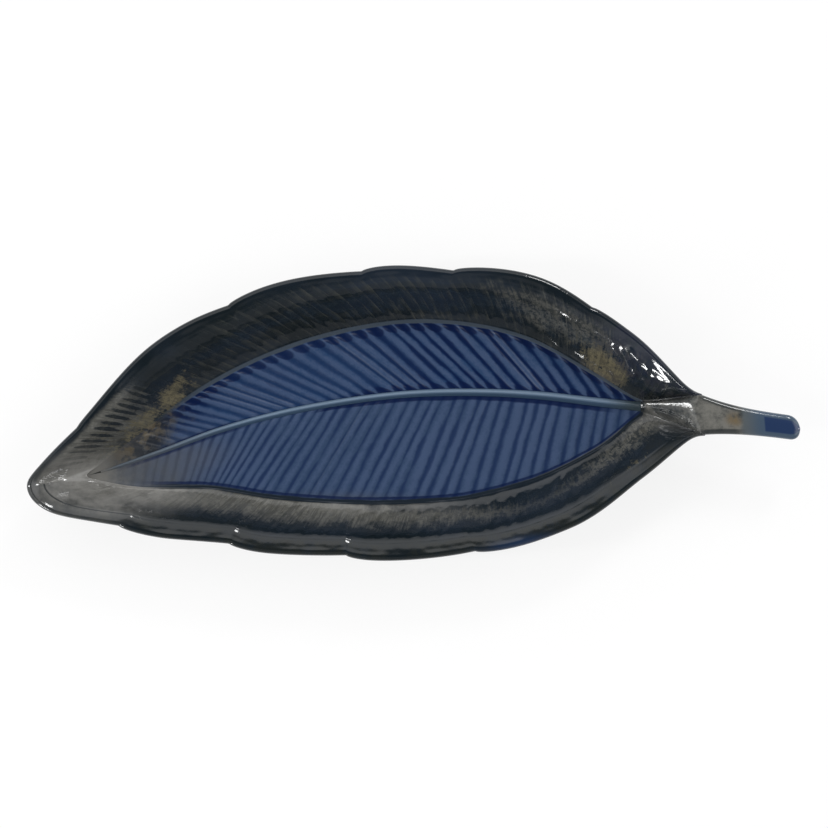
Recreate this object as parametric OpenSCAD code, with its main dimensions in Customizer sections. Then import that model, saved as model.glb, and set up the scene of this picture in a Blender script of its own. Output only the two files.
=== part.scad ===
// Leaf shaped serving plate: a shallow dish with a veined floor, a scalloped rim and a stem to hold it by.
// The leaf lies along X, its tip at -X and its stem at +X, and +Z is up from the table.
// Every outline is drawn from one curved axis, the line that the midrib follows from tip to stem end.

/* [Blade] */
// Length of the blade from its tip to the root of the stem
blade_l = 316; // [290:1:350]
// Widest reach of the blade from its axis, on the far side
far_w = 59; // [50:1:72]
// Widest reach of the blade from its axis, on the near side
near_w = 74; // [60:1:88]
// How far the axis bows away from the straight line between tip and stem end
axis_bow = 29.5; // [12:0.5:36]
// How far each lobe of the edge swells past the smooth outline
lobe_d = 2.4; // [0:0.2:3.2]

/* [Rim wall] */
// Width of the sloping wall in plan, along both sides
side_slope_w = 24; // [19:1:30]
// Length of the slope that climbs to the tip
tip_slope_l = 27; // [20:1:36]
// Length of the slope that climbs to the stem
stem_slope_l = 28; // [22:1:36]
// Height of the rim above the floor inside
rim_h = 20; // [14:1:26]
// Extra height of the rim at the tip
tip_lift = 3; // [0:0.5:8]
// Extra height of the rim at the stem
stem_lift = 1.5; // [0:0.5:5]
// Thickness of the wall and of its rounded lip
lip_t = 4.5; // [3.5:0.25:5.5]
// Depth of the shallow band inside the lip's raised bead
band_dip = 0.3; // [0:0.1:0.6]

/* [Floor and foot] */
// Thickness of the floor
floor_t = 5; // [4:0.5:7]
// Height of the foot ring under the floor
foot_h = 5; // [3:0.5:8]
// Width of the foot ring
foot_w = 5; // [3:0.5:8]
// Distance from the edge of the floor in to the foot ring
foot_inset = 4; // [2:0.5:8]

/* [Midrib and veins] */
// Width of the midrib where it reaches the stem
midrib_w = 4.6; // [3.6:0.2:6]
// Height of the midrib where it reaches the stem
midrib_h = 1.9; // [1:0.1:3]
// Height of the vein ribs above the floor
vein_h = 0.8; // [0.4:0.1:1.4]
// Number of vein ribs on the far side
far_vein_n = 34; // [16:1:38]
// Number of vein ribs on the near side
near_vein_n = 40; // [18:1:44]
// Gap between the vein ribs and the midrib, and between the ribs and the wall
vein_gap = 0.8; // [0.4:0.1:2]

/* [Stem] */
// Length of the stem beyond the blade
stem_l = 44; // [34:1:60]
// Width of the stem where it leaves the blade
stem_root_w = 18.6; // [15:0.2:24]
// Width of the stem along its grip
stem_w = 11.5; // [9:0.5:14]
// Thickness of the stem
stem_t = 9; // [7:0.5:11]
// Width of the bevel along each upper edge of the stem
stem_bevel = 2.4; // [1:0.2:3.5]

/* [Hidden] */

// Sides of the axis
FAR = 1;
NEAR = -1;

// Sizes worked out from the ones above
plate_l = blade_l + stem_l;
well_l = blade_l - tip_slope_l - stem_slope_l;
well_end = tip_slope_l + well_l;
floor_z = foot_h + floor_t;
lip_r = lip_t/2;

// Bow of the axis at equal steps from the tip to the end of the stem
axis_shares = [0, 0.12, 0.37, 0.655, 0.85, 0.96, 1, 0.95, 0.825, 0.63, 0.44, 0.2, -0.02];
// Reach of the blade edge at the stations of the blade, from the tip up to the root of the stem
far_shares = [0, 0.15, 0.45, 0.825, 0.96, 1, 0.96, 0.885, 0.55, 0.215];
near_shares = [0, 0.145, 0.29, 0.54, 0.82, 0.99, 1, 0.79, 0.435, 0.175];
// Reach of the floor edge at the same stations, laid along the floor
far_floor_shares = [0, 0.1, 0.32, 0.6, 0.82, 0.95, 0.95, 0.78, 0.43, 0.15];
near_floor_shares = [0, 0.08, 0.26, 0.47, 0.78, 0.97, 1, 0.81, 0.485, 0.18];
// Places along the blade where the edge is nicked between two lobes
far_notch_shares = [0, 0.08, 0.315, 0.515, 0.65, 0.85, 1];
near_notch_shares = [0, 0.13, 0.29, 0.46, 0.65, 1];
// Length of a lobe that swells to its full depth, and the power that leans each lobe toward the tip
full_lobe_share = 0.2;
lobe_lean_share = 0.6;
// Climb of the wall from the floor to the lip, at equal steps, along the sides and where the stem climbs
side_climb_shares = [0, 0.05, 0.145, 0.27, 0.41, 0.575, 0.735, 0.865, 0.945, 0.985, 1];
end_climb_shares = [0, 0.03, 0.08, 0.145, 0.225, 0.32, 0.43, 0.56, 0.71, 0.87, 1];
// Part of the blade over which the wall turns into the hollows beside the stem, and into the tip
stem_blend_share = 0.28;
tip_blend_share = 0.2;
// How much of the hollows' gentler climb the tip takes, and how far up its slope the midrib runs out
tip_hollow_share = 0.6;
tip_ridge_share = 0.77;
// Step over which the wall's slope is measured
slope_step_share = 0.02;
// Part of the wall's run at which the lip band begins, along the sides and where it narrows into the stem
lip_share = 0.78;
lip_end_share = 0.88;
// Part of the run over which the band falls away, the part that the lip's bead takes, and the parts of the
// blade over which the band fades into the tip and into the stem
band_fall_share = 0.05;
bead_share = 0.09;
tip_fade_share = 0.06;
stem_fade_share = 0.05;
// Steps along the section of the wall, above and below, and across the lip band
wall_top_shares = [0, 0.12, 0.25, 0.38, 0.51, 0.64, 0.77, 0.89, 1];
wall_under_shares = [0, 0.2, 0.4, 0.6, 0.8, 1];
lip_top_shares = [0, 0.23, 0.6, 1];
// Angles of the points round the lip's edge
lip_angles = [60, 30, 0, -30, -60];
// A steep wall is this many times thicker upright than square to its face, at most
steep_limit = 1.75;

// Stations along each side, drawn closer together at both ends
stations = 60;
bunch_share = 0.4;
// Stations on each side that belong to the tip
tip_stations = 10;

// Lean of the veins: how far each rib's outer end lies back toward the tip, by its place on the midrib
far_lean_shares = [0, 0.08, 0.14, 0.125, 0.1, 0];
near_lean_shares = [0, 0.03, 0.11, 0.11, 0.06, 0];
// Part of the floor's length that carries veins, and the part of the pitch that is rib
vein_start_share = 0.13;
vein_end_share = 0.965;
vein_fill_share = 0.68;
vein_top_share = 0.6;
// Steps along a rib and its height at each of them
vein_step_shares = [0, 0.1, 0.35, 0.65, 0.9, 1];
vein_height_shares = [0.35, 0.9, 1, 1, 0.9, 0.3];

// Start of the midrib past the floor's tip, its growth at equal steps, and its section as reach and height
midrib_start_share = 0.025;
midrib_shares = [0.3, 0.6, 0.72, 0.78, 0.86, 1];
midrib_section_shares = [[1, 0], [0.85, 0.5], [0.4, 0.93], [0, 1], [-0.4, 0.93], [-0.85, 0.5], [-1, 0]];
midrib_steps = 40;

// The foot ring's ends draw in faster than its sides
foot_tip_factor = 2.5;

// Crown of the stem's flat top, and sag of the belly where the ridge starts
stem_crown = 0.4;
ridge_sag = 0.4;
// Powers that shape the ridge's climb and widening, and the flare of the stem's root
climb_power = 1.05;
widen_power = 1.5;
flare_power = 3;
// Width of the bevel at the root, depth of the stem's widest line, and what is left of its tip
root_bevel_share = 0.2;
widest_share = 0.6;
blunt_share = 0.1;
// Steps up the ridge, along the stem's grip and round its end
ridge_shares = [0, 0.1, 0.2, 0.3, 0.4, 0.5, 0.6, 0.7, 0.8, 0.9];
grip_shares = [0, 0.05, 0.12, 0.2, 0.3, 0.42, 0.56, 0.7, 0.82];
end_shares = [0.15, 0.45, 0.65, 0.8, 0.9, 0.96, 1];

// Straight line between two values, and a smooth start and stop between 0 and 1
function mix(a, b, s) = a + (b - a)*s;
function ease(s) = let(c = min(max(s, 0), 1)) c*c*(3 - 2*c);

// Smooth curve through equally spaced values, for a place from 0 to 1, which can end level
function spline(v, place, level_end = false) =
    let(n = len(v) - 1,
        s = min(max(place, 0), 1)*n,
        i = min(floor(s), n - 1),
        f = s - i,
        b = v[i],
        c = v[i + 1],
        a = i > 0 ? v[i - 1] : 2*b - c,
        d = i < n - 1 ? v[i + 2] : level_end ? b : 2*c - b)
    b + f*((c - a)/2 + f*((a - 2.5*b + 2*c - d/2) + f*(1.5*b - a/2 - 1.5*c + d/2)));

// A station runs from 0 at the tip to 1 at the stem; its place along the length moves slowly at both ends
function along(t) = (1 - cos(180*t))/2;
function station_at(place) = acos(1 - 2*min(max(place, 0), 1))/180;
function station(i) = let(u = i/stations) u + bunch_share*sin(360*u)/(2*PI);

// The leaf's axis
function axis_y(x) = axis_bow*spline(axis_shares, x/plate_l);

// Reach of the blade and of the floor from the axis at each table station
far_reach = concat(far_w*far_shares, [stem_root_w/2]);
near_reach = concat(near_w*near_shares, [stem_root_w/2]);
far_floor_reach = concat((far_w - side_slope_w)*far_floor_shares, [midrib_w/2]);
near_floor_reach = concat((near_w - side_slope_w)*near_floor_shares, [midrib_w/2]);

// Swell of the lobe that a place lies on
function lobe(place, notches) =
    let(k = [for (i = [0 : len(notches) - 2]) if (place >= notches[i] && place <= notches[i + 1]) i][0],
        span = notches[k + 1] - notches[k])
    lobe_d*min(1, span/full_lobe_share)*sin(180*pow((place - notches[k])/span, lobe_lean_share));

// Plan of the blade's edge and of the floor's edge
function edge(side, t) =
    let(x = blade_l*along(t),
        reach = spline(side == FAR ? far_reach : near_reach, t, level_end = true),
        swell = lobe(along(t), side == FAR ? far_notch_shares : near_notch_shares))
    [x, axis_y(x) + side*(reach + swell)];
function floor_edge(side, t) =
    let(x = tip_slope_l + well_l*along(t))
    [x, axis_y(x) + side*spline(side == FAR ? far_floor_reach : near_floor_reach, t)];
function floor_edge_at(side, x) = floor_edge(side, station_at((x - tip_slope_l)/well_l));

// Height of the rim, which lifts toward the tip and the stem
function rim_z(t) = floor_z + rim_h + tip_lift*pow(1 - along(t), 4) + stem_lift*pow(along(t), 4);

// Centre of the lip's rounding, in plan, and the wall's run up to it
function lip_centre(side, t) =
    let(in = floor_edge(side, t), out = edge(side, t))
    out - lip_r*(out - in)/norm(out - in);
function wall_run(side, t) = norm(lip_centre(side, t) - floor_edge(side, t));

// Climb of the wall as a share of its height
function stem_blend(t) = ease((t - 1 + stem_blend_share)/stem_blend_share);
function climb(t, q) =
    let(m = max(stem_blend(t), tip_hollow_share*ease(1 - t/tip_blend_share)))
    mix(spline(side_climb_shares, q), spline(end_climb_shares, q), m);
// The midrib runs out up the slope of the tip
function tip_ridge(t, q) = midrib_h*ease(1 - q/tip_ridge_share)*ease(1 - t/tip_blend_share*2);
// Part of the wall's run at which the lip band begins, and the band's depth inside the bead
function lip_start(t) = mix(lip_share, lip_end_share, stem_blend(t));
function band(t, q) =
    band_dip*ease((q - lip_start(t))/band_fall_share)*(1 - ease((q - 1 + bead_share)/bead_share))
    *ease(along(t)/tip_fade_share)*ease((1 - along(t))/stem_fade_share);

// Points of the wall's inside and of its underside, straight below
function top_pt(side, t, q) =
    let(p = mix(floor_edge(side, t), lip_centre(side, t), q))
    [p.x, p.y, mix(floor_z, rim_z(t), climb(t, q)) + tip_ridge(t, q) - band(t, q)];
function wall_depth(side, t, q) =
    let(e = slope_step_share,
        slope = (climb(t, q + e) - climb(t, q - e))/(2*e)*(rim_z(t) - floor_z)/wall_run(side, t))
    q == 0 ? floor_t : q == 1 ? lip_t : lip_t*min(sqrt(1 + slope*slope), steep_limit);
function under_pt(side, t, q) =
    let(p = mix(floor_edge(side, t), lip_centre(side, t), q))
    [p.x, p.y, mix(floor_z, rim_z(t), climb(t, q)) - wall_depth(side, t, q)];
// Points round the lip's edge
function lip_pt(side, t, angle) =
    let(out = edge(side, t), in = lip_centre(side, t), p = mix(in, out, cos(angle)))
    [p.x, p.y, rim_z(t) - lip_r + lip_r*sin(angle)];

// Sections of the wall and of the lip at one station
function wall_ring(side, t) =
    concat([for (s = wall_top_shares) top_pt(side, t, s*lip_start(t))],
           [for (k = [len(wall_under_shares) - 1 : -1 : 0])
               under_pt(side, t, wall_under_shares[k]*lip_start(t))]);
function lip_ring(side, t) =
    concat([for (s = lip_top_shares) top_pt(side, t, mix(lip_start(t), 1, s))],
           [for (a = lip_angles) lip_pt(side, t, a)],
           [for (k = [len(lip_top_shares) - 1 : -1 : 0])
               under_pt(side, t, mix(lip_start(t), 1, lip_top_shares[k]))]);

// Solid skin over a row of sections with equal numbers of points
module loft(rings) {
    n = len(rings);
    m = len(rings[0]);
    sides = [for (i = [0 : n - 2], j = [0 : m - 1])
        let(a = i*m + j, b = i*m + (j + 1)%m) each [[a, b + m, b], [a, a + m, b + m]]];
    first = [for (j = [0 : m - 1]) j];
    last = [for (j = [m - 1 : -1 : 0]) (n - 1)*m + j];
    polyhedron(points = [for (r = rings) each r], faces = concat(sides, [first, last]));
}

// Sections of one side in order, from the tip end to the stem on the near side and back on the far side
function side_rings(side, from, to) =
    side == NEAR ? [for (i = [from : to]) wall_ring(NEAR, station(i))]
                 : [for (i = [to : -1 : from]) wall_ring(FAR, station(i))];
function side_lip_rings(side) =
    side == NEAR ? [for (i = [0 : stations]) lip_ring(NEAR, station(i))]
                 : [for (i = [stations : -1 : 0]) lip_ring(FAR, station(i))];

// Flat floor inside the wall
module well_floor() {
    color("#2b4468")
    translate([0, 0, foot_h])
    linear_extrude(floor_t)
    polygon(concat([for (i = [0 : stations]) floor_edge(FAR, station(i))],
                   [for (i = [stations : -1 : 1]) floor_edge(NEAR, station(i))]));
}

// Rounded rib along the axis, widening toward the stem
module midrib() {
    start = tip_slope_l + well_l*midrib_start_share;
    color("#7e93a8")
    loft([for (i = [0 : midrib_steps])
        let(s = i/midrib_steps,
            x = mix(start, well_end, s),
            grow = spline(midrib_shares, s))
        [for (p = midrib_section_shares)
            [x, axis_y(x) + p[0]*grow*midrib_w/2, floor_z + p[1]*grow*midrib_h]]]);
}

// Place on the floor of a vein at share s of the midrib and share w of the way out to the wall
function vein_pt(side, s, w) =
    let(root_x = tip_slope_l + well_l*s,
        end_x = root_x - well_l*spline(side == FAR ? far_lean_shares : near_lean_shares, s),
        end = floor_edge_at(side, end_x),
        root = [root_x, axis_y(root_x) + side*(midrib_w/2 + vein_gap)],
        run = norm(end - root))
    mix(root, end, w*max(1 - vein_gap/run, 0));

// Low ribs fanned out from the midrib
module veins(side, count) {
    pitch_share = (vein_end_share - vein_start_share)/count;
    for (k = [0 : count - 1]) {
        s = vein_start_share + (k + 1/2)*pitch_share;
        base = pitch_share*vein_fill_share/2;
        crown = base*vein_top_share;
        loft([for (j = [0 : len(vein_step_shares) - 1])
            let(w = vein_step_shares[j],
                top = floor_z + vein_h*vein_height_shares[j],
                a = vein_pt(side, s - side*base, w),
                b = vein_pt(side, s - side*crown, w),
                c = vein_pt(side, s + side*crown, w),
                d = vein_pt(side, s + side*base, w))
            [[a.x, a.y, floor_z], [b.x, b.y, top], [c.x, c.y, top], [d.x, d.y, floor_z]]]);
    }
}

module far_veins() {
    color("#41608a") veins(FAR, far_vein_n);
}

module near_veins() {
    color("#3d587f") veins(NEAR, near_vein_n);
}

// Slope that climbs to the tip, with the end of the midrib running out on it
module tip_wall() {
    color("#5b5648")
    loft(concat(side_rings(FAR, 1, tip_stations), side_rings(NEAR, 0, tip_stations)));
}

module far_wall() {
    color("#232b2f") loft(side_rings(FAR, tip_stations, stations));
}

module near_wall() {
    color("#3b3f3d") loft(side_rings(NEAR, tip_stations, stations));
}

// Scalloped, rounded lips that meet at the tip and end against the stem
module far_lip() {
    color("#2f3638") loft(side_lip_rings(FAR));
}

module near_lip() {
    color("#454a48") loft(side_lip_rings(NEAR));
}

// Section of the ridge that climbs between the hollows of the two walls, at share q of its climb
function ridge_ring(q) =
    let(far_top = top_pt(FAR, 1, q),
        far_low = under_pt(FAR, 1, q),
        near_top = top_pt(NEAR, 1, q),
        near_low = under_pt(NEAR, 1, q),
        x = far_top.x,
        y = axis_y(x),
        half = mix(midrib_w/4, stem_root_w/2 - stem_bevel, pow(q, widen_power)),
        crest = mix(floor_z + midrib_h, stem_top(0) + stem_crown, sin(90*pow(q, climb_power))),
        shoulder = crest - stem_crown,
        belly = mix(floor_z - floor_t - ridge_sag, stem_top(0) - stem_t, ease(q)))
    [far_low, far_top, [x, y + half, shoulder], [x, y, crest], [x, y - half, shoulder],
     near_top, near_low, [x, y - half, min(belly, near_low.z)], [x, y + half, min(belly, far_low.z)]];

// Height of the stem's flat top, half of its width and the rounding of its end, at share s of its length
function stem_top(s) = rim_z(1) + stem_lift*s;
function stem_flare(s) = mix(stem_w, stem_root_w, pow(1 - s, flare_power))/2;
function stem_round(s) =
    let(past = max(s - 1 + stem_w/2/stem_l, 0)*stem_l/(stem_w/2))
    max(sqrt(max(1 - past*past, 0)), blunt_share);

// Section of the stem beyond the blade: flat top, bevelled edges and a rounded belly
function stem_ring(s) =
    let(x = blade_l + stem_l*s,
        y = axis_y(x),
        round = stem_round(s),
        half = stem_flare(s)*round,
        bevel = stem_bevel*mix(root_bevel_share, 1, ease(s*3))*round,
        top = stem_top(s) - stem_bevel*(1 - round),
        bottom = top - stem_t*(1 + round)/2,
        widest = mix(top, bottom, widest_share),
        flat = half - bevel)
    [[x, y + half, widest], [x, y + half, top - bevel], [x, y + flat, top],
     [x, y, top + stem_crown*round],
     [x, y - flat, top], [x, y - half, top - bevel], [x, y - half, widest],
     [x, y - half/2, bottom], [x, y + half/2, bottom]];

// Ridge up the end wall and the stem beyond it, in one piece
module stem() {
    end_s = stem_w/2/stem_l;
    color("#3d5670")
    loft(concat([for (q = ridge_shares) ridge_ring(q)],
                [for (s = grip_shares) stem_ring(s)],
                [for (e = end_shares) stem_ring(1 - end_s + end_s*e)]));
}

// Outline of the foot ring, drawn in from the floor's edge by an inset
function foot_pt(side, t, inset) =
    let(far = floor_edge(FAR, t),
        near = floor_edge(NEAR, t),
        half_w = (far_w + near_w)/2 - side_slope_w,
        mid_x = tip_slope_l + well_l/2,
        narrow = 1 - inset/half_w,
        shorten = 1 - foot_tip_factor*inset/(well_l/2))
    [mix(mid_x, far.x, shorten), mix((far.y + near.y)/2, side == FAR ? far.y : near.y, narrow)];
function foot_outline(inset) =
    concat([for (i = [0 : stations]) foot_pt(FAR, station(i), inset)],
           [for (i = [stations : -1 : 1]) foot_pt(NEAR, station(i), inset)]);

// Ring that the plate stands on
module foot_ring() {
    color("#a08a6c")
    linear_extrude(foot_h)
    difference() {
        polygon(foot_outline(foot_inset));
        polygon(foot_outline(foot_inset + foot_w));
    }
}

// Moves the leaf so that the middle of its length and width is the origin
far_most = max([for (i = [0 : stations]) edge(FAR, station(i)).y]);
near_most = min([for (i = [0 : stations]) edge(NEAR, station(i)).y]);
module centred() {
    translate([-plate_l/2, -(far_most + near_most)/2, 0]) children();
}

centred() well_floor();
centred() midrib();
centred() far_veins();
centred() near_veins();
centred() tip_wall();
centred() far_wall();
centred() near_wall();
centred() far_lip();
centred() near_lip();
centred() stem();
centred() foot_ring();
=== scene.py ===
"""Leaf shaped serving plate in glazed stoneware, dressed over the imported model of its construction.

The plate is one fired piece. Every piece here is drawn from one leaf form, stands for one region of the
model and meets its neighbours along the same lines, so that the glaze runs over the seams without a break.
Lengths are in metres. In the form x runs from the tip of the leaf to the end of its stem.
"""

import logging
import math
from dataclasses import dataclass, fields
from enum import Enum
from typing import Sequence, Union

import bpy
import numpy as np
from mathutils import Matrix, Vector


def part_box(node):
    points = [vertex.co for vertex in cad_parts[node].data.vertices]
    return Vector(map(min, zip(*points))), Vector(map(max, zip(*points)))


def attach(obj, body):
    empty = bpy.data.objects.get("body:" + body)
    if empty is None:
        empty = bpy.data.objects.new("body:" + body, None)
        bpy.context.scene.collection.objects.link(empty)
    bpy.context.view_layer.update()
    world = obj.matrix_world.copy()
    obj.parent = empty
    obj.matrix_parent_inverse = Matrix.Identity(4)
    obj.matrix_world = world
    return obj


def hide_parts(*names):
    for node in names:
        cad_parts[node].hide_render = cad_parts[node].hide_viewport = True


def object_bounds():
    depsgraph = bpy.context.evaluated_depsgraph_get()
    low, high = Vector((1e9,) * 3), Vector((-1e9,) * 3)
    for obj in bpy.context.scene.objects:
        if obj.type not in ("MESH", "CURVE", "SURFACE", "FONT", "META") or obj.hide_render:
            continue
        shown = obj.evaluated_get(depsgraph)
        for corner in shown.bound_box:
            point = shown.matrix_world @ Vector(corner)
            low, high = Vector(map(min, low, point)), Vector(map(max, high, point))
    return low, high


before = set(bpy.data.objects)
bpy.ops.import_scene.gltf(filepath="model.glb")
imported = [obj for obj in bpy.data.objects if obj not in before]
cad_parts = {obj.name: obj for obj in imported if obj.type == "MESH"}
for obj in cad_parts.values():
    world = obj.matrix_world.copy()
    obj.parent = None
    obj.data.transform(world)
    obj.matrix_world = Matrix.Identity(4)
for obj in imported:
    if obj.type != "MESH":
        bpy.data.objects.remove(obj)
CAD_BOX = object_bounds()

MM = 0.001
WELD = MM / 500
TINY = 1e-15
FINE_STEPS = 2001
BODY = "root"

# The photograph's scale, the pixel of the leaf's tip and the turn of the leaf's axis in degrees
PHOTO_MM = 0.46434
PHOTO_TIP = (27.0, 487.0)
PHOTO_TURN = 4.401

# Steps in pixels from a highlight to the crest of the glaze that gives it
WALL_CREST = (-0.95, 0.95)
TIP_CREST = (0.0, -1.5)
LOG = logging.getLogger("leaf_plate")

Array = np.ndarray
Plan = tuple[Array, Array]
Marks = dict[str, Array]
Sheet = tuple[Array, Marks]
Shares = Sequence[float]
Colour = tuple[float, float, float]


class Side(Enum):
    """The two sides of the leaf's axis."""

    FAR = 1
    NEAR = -1


def mix(a: Array, b: Array, share: Array) -> Array:
    """Return the value at a share of the way from a to b."""
    return a + (b - a) * share


def ease(share: Array) -> Array:
    """Return a smooth start and stop between 0 and 1."""
    held = np.clip(share, 0, 1)
    return held * held * (3 - 2 * held)


def bell(distance: Array, width: float) -> Array:
    """Return a soft bump of height 1 that falls off over a width."""
    return np.exp(-((distance / width) ** 2))


def stacked(*parts: Array) -> Array:
    """Join coordinates into points."""
    return np.stack(np.broadcast_arrays(*parts), axis=-1)


def spline(values: Shares, place: Array) -> Array:
    """Draw a smooth curve through equally spaced values.

    Args:
        values: The values that the curve passes.
        place: Places along it, from 0 to 1.

    Returns:
        The curve's value at each place.
    """
    v = np.asarray(values, float)
    last = len(v) - 1
    s = np.clip(np.asarray(place, float), 0, 1) * last
    i = np.minimum(s.astype(int), last - 1)
    f = s - i
    b, c = v[i], v[i + 1]
    a = np.where(i > 0, v[np.maximum(i - 1, 0)], 2 * b - c)
    d = np.where(i < last - 1, v[np.minimum(i + 2, last)], 2 * c - b)
    cubic = 1.5 * b - a / 2 - 1.5 * c + d / 2
    return b + f * ((c - a) / 2 + f * ((a - 2.5 * b + 2 * c - d / 2) + f * cubic))


def put(name: str, data: bpy.types.ID) -> bpy.types.Object:
    """Add an object to the scene."""
    thing = bpy.data.objects.new(name, data)
    bpy.context.scene.collection.objects.link(thing)
    return thing


@dataclass(frozen=True)
class Bead:
    """A raised run of glaze, found by its highlight.

    The highlight's points are pixels read from the photograph, and the first one of the hook was
    then moved. The width and the height are in millimetres.
    """

    name: str
    pixels: tuple[tuple[float, float], ...]
    to_crest: tuple[float, float]
    width: float
    height: float

    def crest(self) -> list[tuple[float, float]]:
        """Points of the crest in the plan of the form, to a tenth of a millimetre."""
        turn = math.radians(PHOTO_TURN)
        points = []
        for px, py in self.pixels:
            right = px + self.to_crest[0] - PHOTO_TIP[0]
            down = py + self.to_crest[1] - PHOTO_TIP[1]
            x = (right * math.cos(turn) - down * math.sin(turn)) * PHOTO_MM
            y = (-right * math.sin(turn) - down * math.cos(turn)) * PHOTO_MM
            points.append((round(x, 1), round(y, 1)))
        return points

    def rise(self, x: Array, y: Array) -> Array:
        """Height that the bead adds at points in the plan."""
        crest = self.crest()
        nearest = np.full(np.shape(x), np.inf)
        for (ax, ay), (bx, by) in zip(crest, crest[1:]):
            dx, dy = bx - ax, by - ay
            share = np.clip(((x - ax) * dx + (y - ay) * dy) / (dx * dx + dy * dy), 0, 1)
            nearest = np.minimum(nearest, np.hypot(x - ax - share * dx, y - ay - share * dy))
        return self.height * bell(nearest, self.width)


@dataclass(frozen=True)
class Half:
    """What one half of the leaf has of its own, its plan given at equal steps of the station."""

    width: float
    edge: Shares
    floor_edge: Shares
    notches: Shares
    vein_n: int
    vein_h: float
    vein_power: float
    vein_leans: Shares
    stroke_leans: tuple[float, float]
    groove_share: float


HALVES = {
    Side.FAR: Half(
        width=59 * MM,
        edge=(0, 0.15, 0.45, 0.825, 0.96, 1, 0.96, 0.885, 0.55, 0.215),
        floor_edge=(0, 0.1, 0.32, 0.6, 0.82, 0.95, 0.95, 0.78, 0.43, 0.15),
        notches=(0, 0.08, 0.315, 0.515, 0.65, 0.85, 1),
        vein_n=34,
        vein_h=0.42 * MM,
        vein_power=1.0,
        vein_leans=(0, 0.08, 0.14, 0.125, 0.1, 0),
        stroke_leans=(0.3, 0.95),
        groove_share=0.35,
    ),
    Side.NEAR: Half(
        width=74 * MM,
        edge=(0, 0.145, 0.29, 0.54, 0.82, 0.99, 1, 0.79, 0.435, 0.175),
        floor_edge=(0, 0.08, 0.26, 0.47, 0.78, 0.97, 1, 0.81, 0.485, 0.18),
        notches=(0, 0.13, 0.29, 0.46, 0.65, 1),
        vein_n=40,
        vein_h=0.34 * MM,
        vein_power=0.7,
        vein_leans=(0, 0.03, 0.11, 0.11, 0.06, 0),
        stroke_leans=(0.6, 0.6),
        groove_share=1.0,
    ),
}


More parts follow.
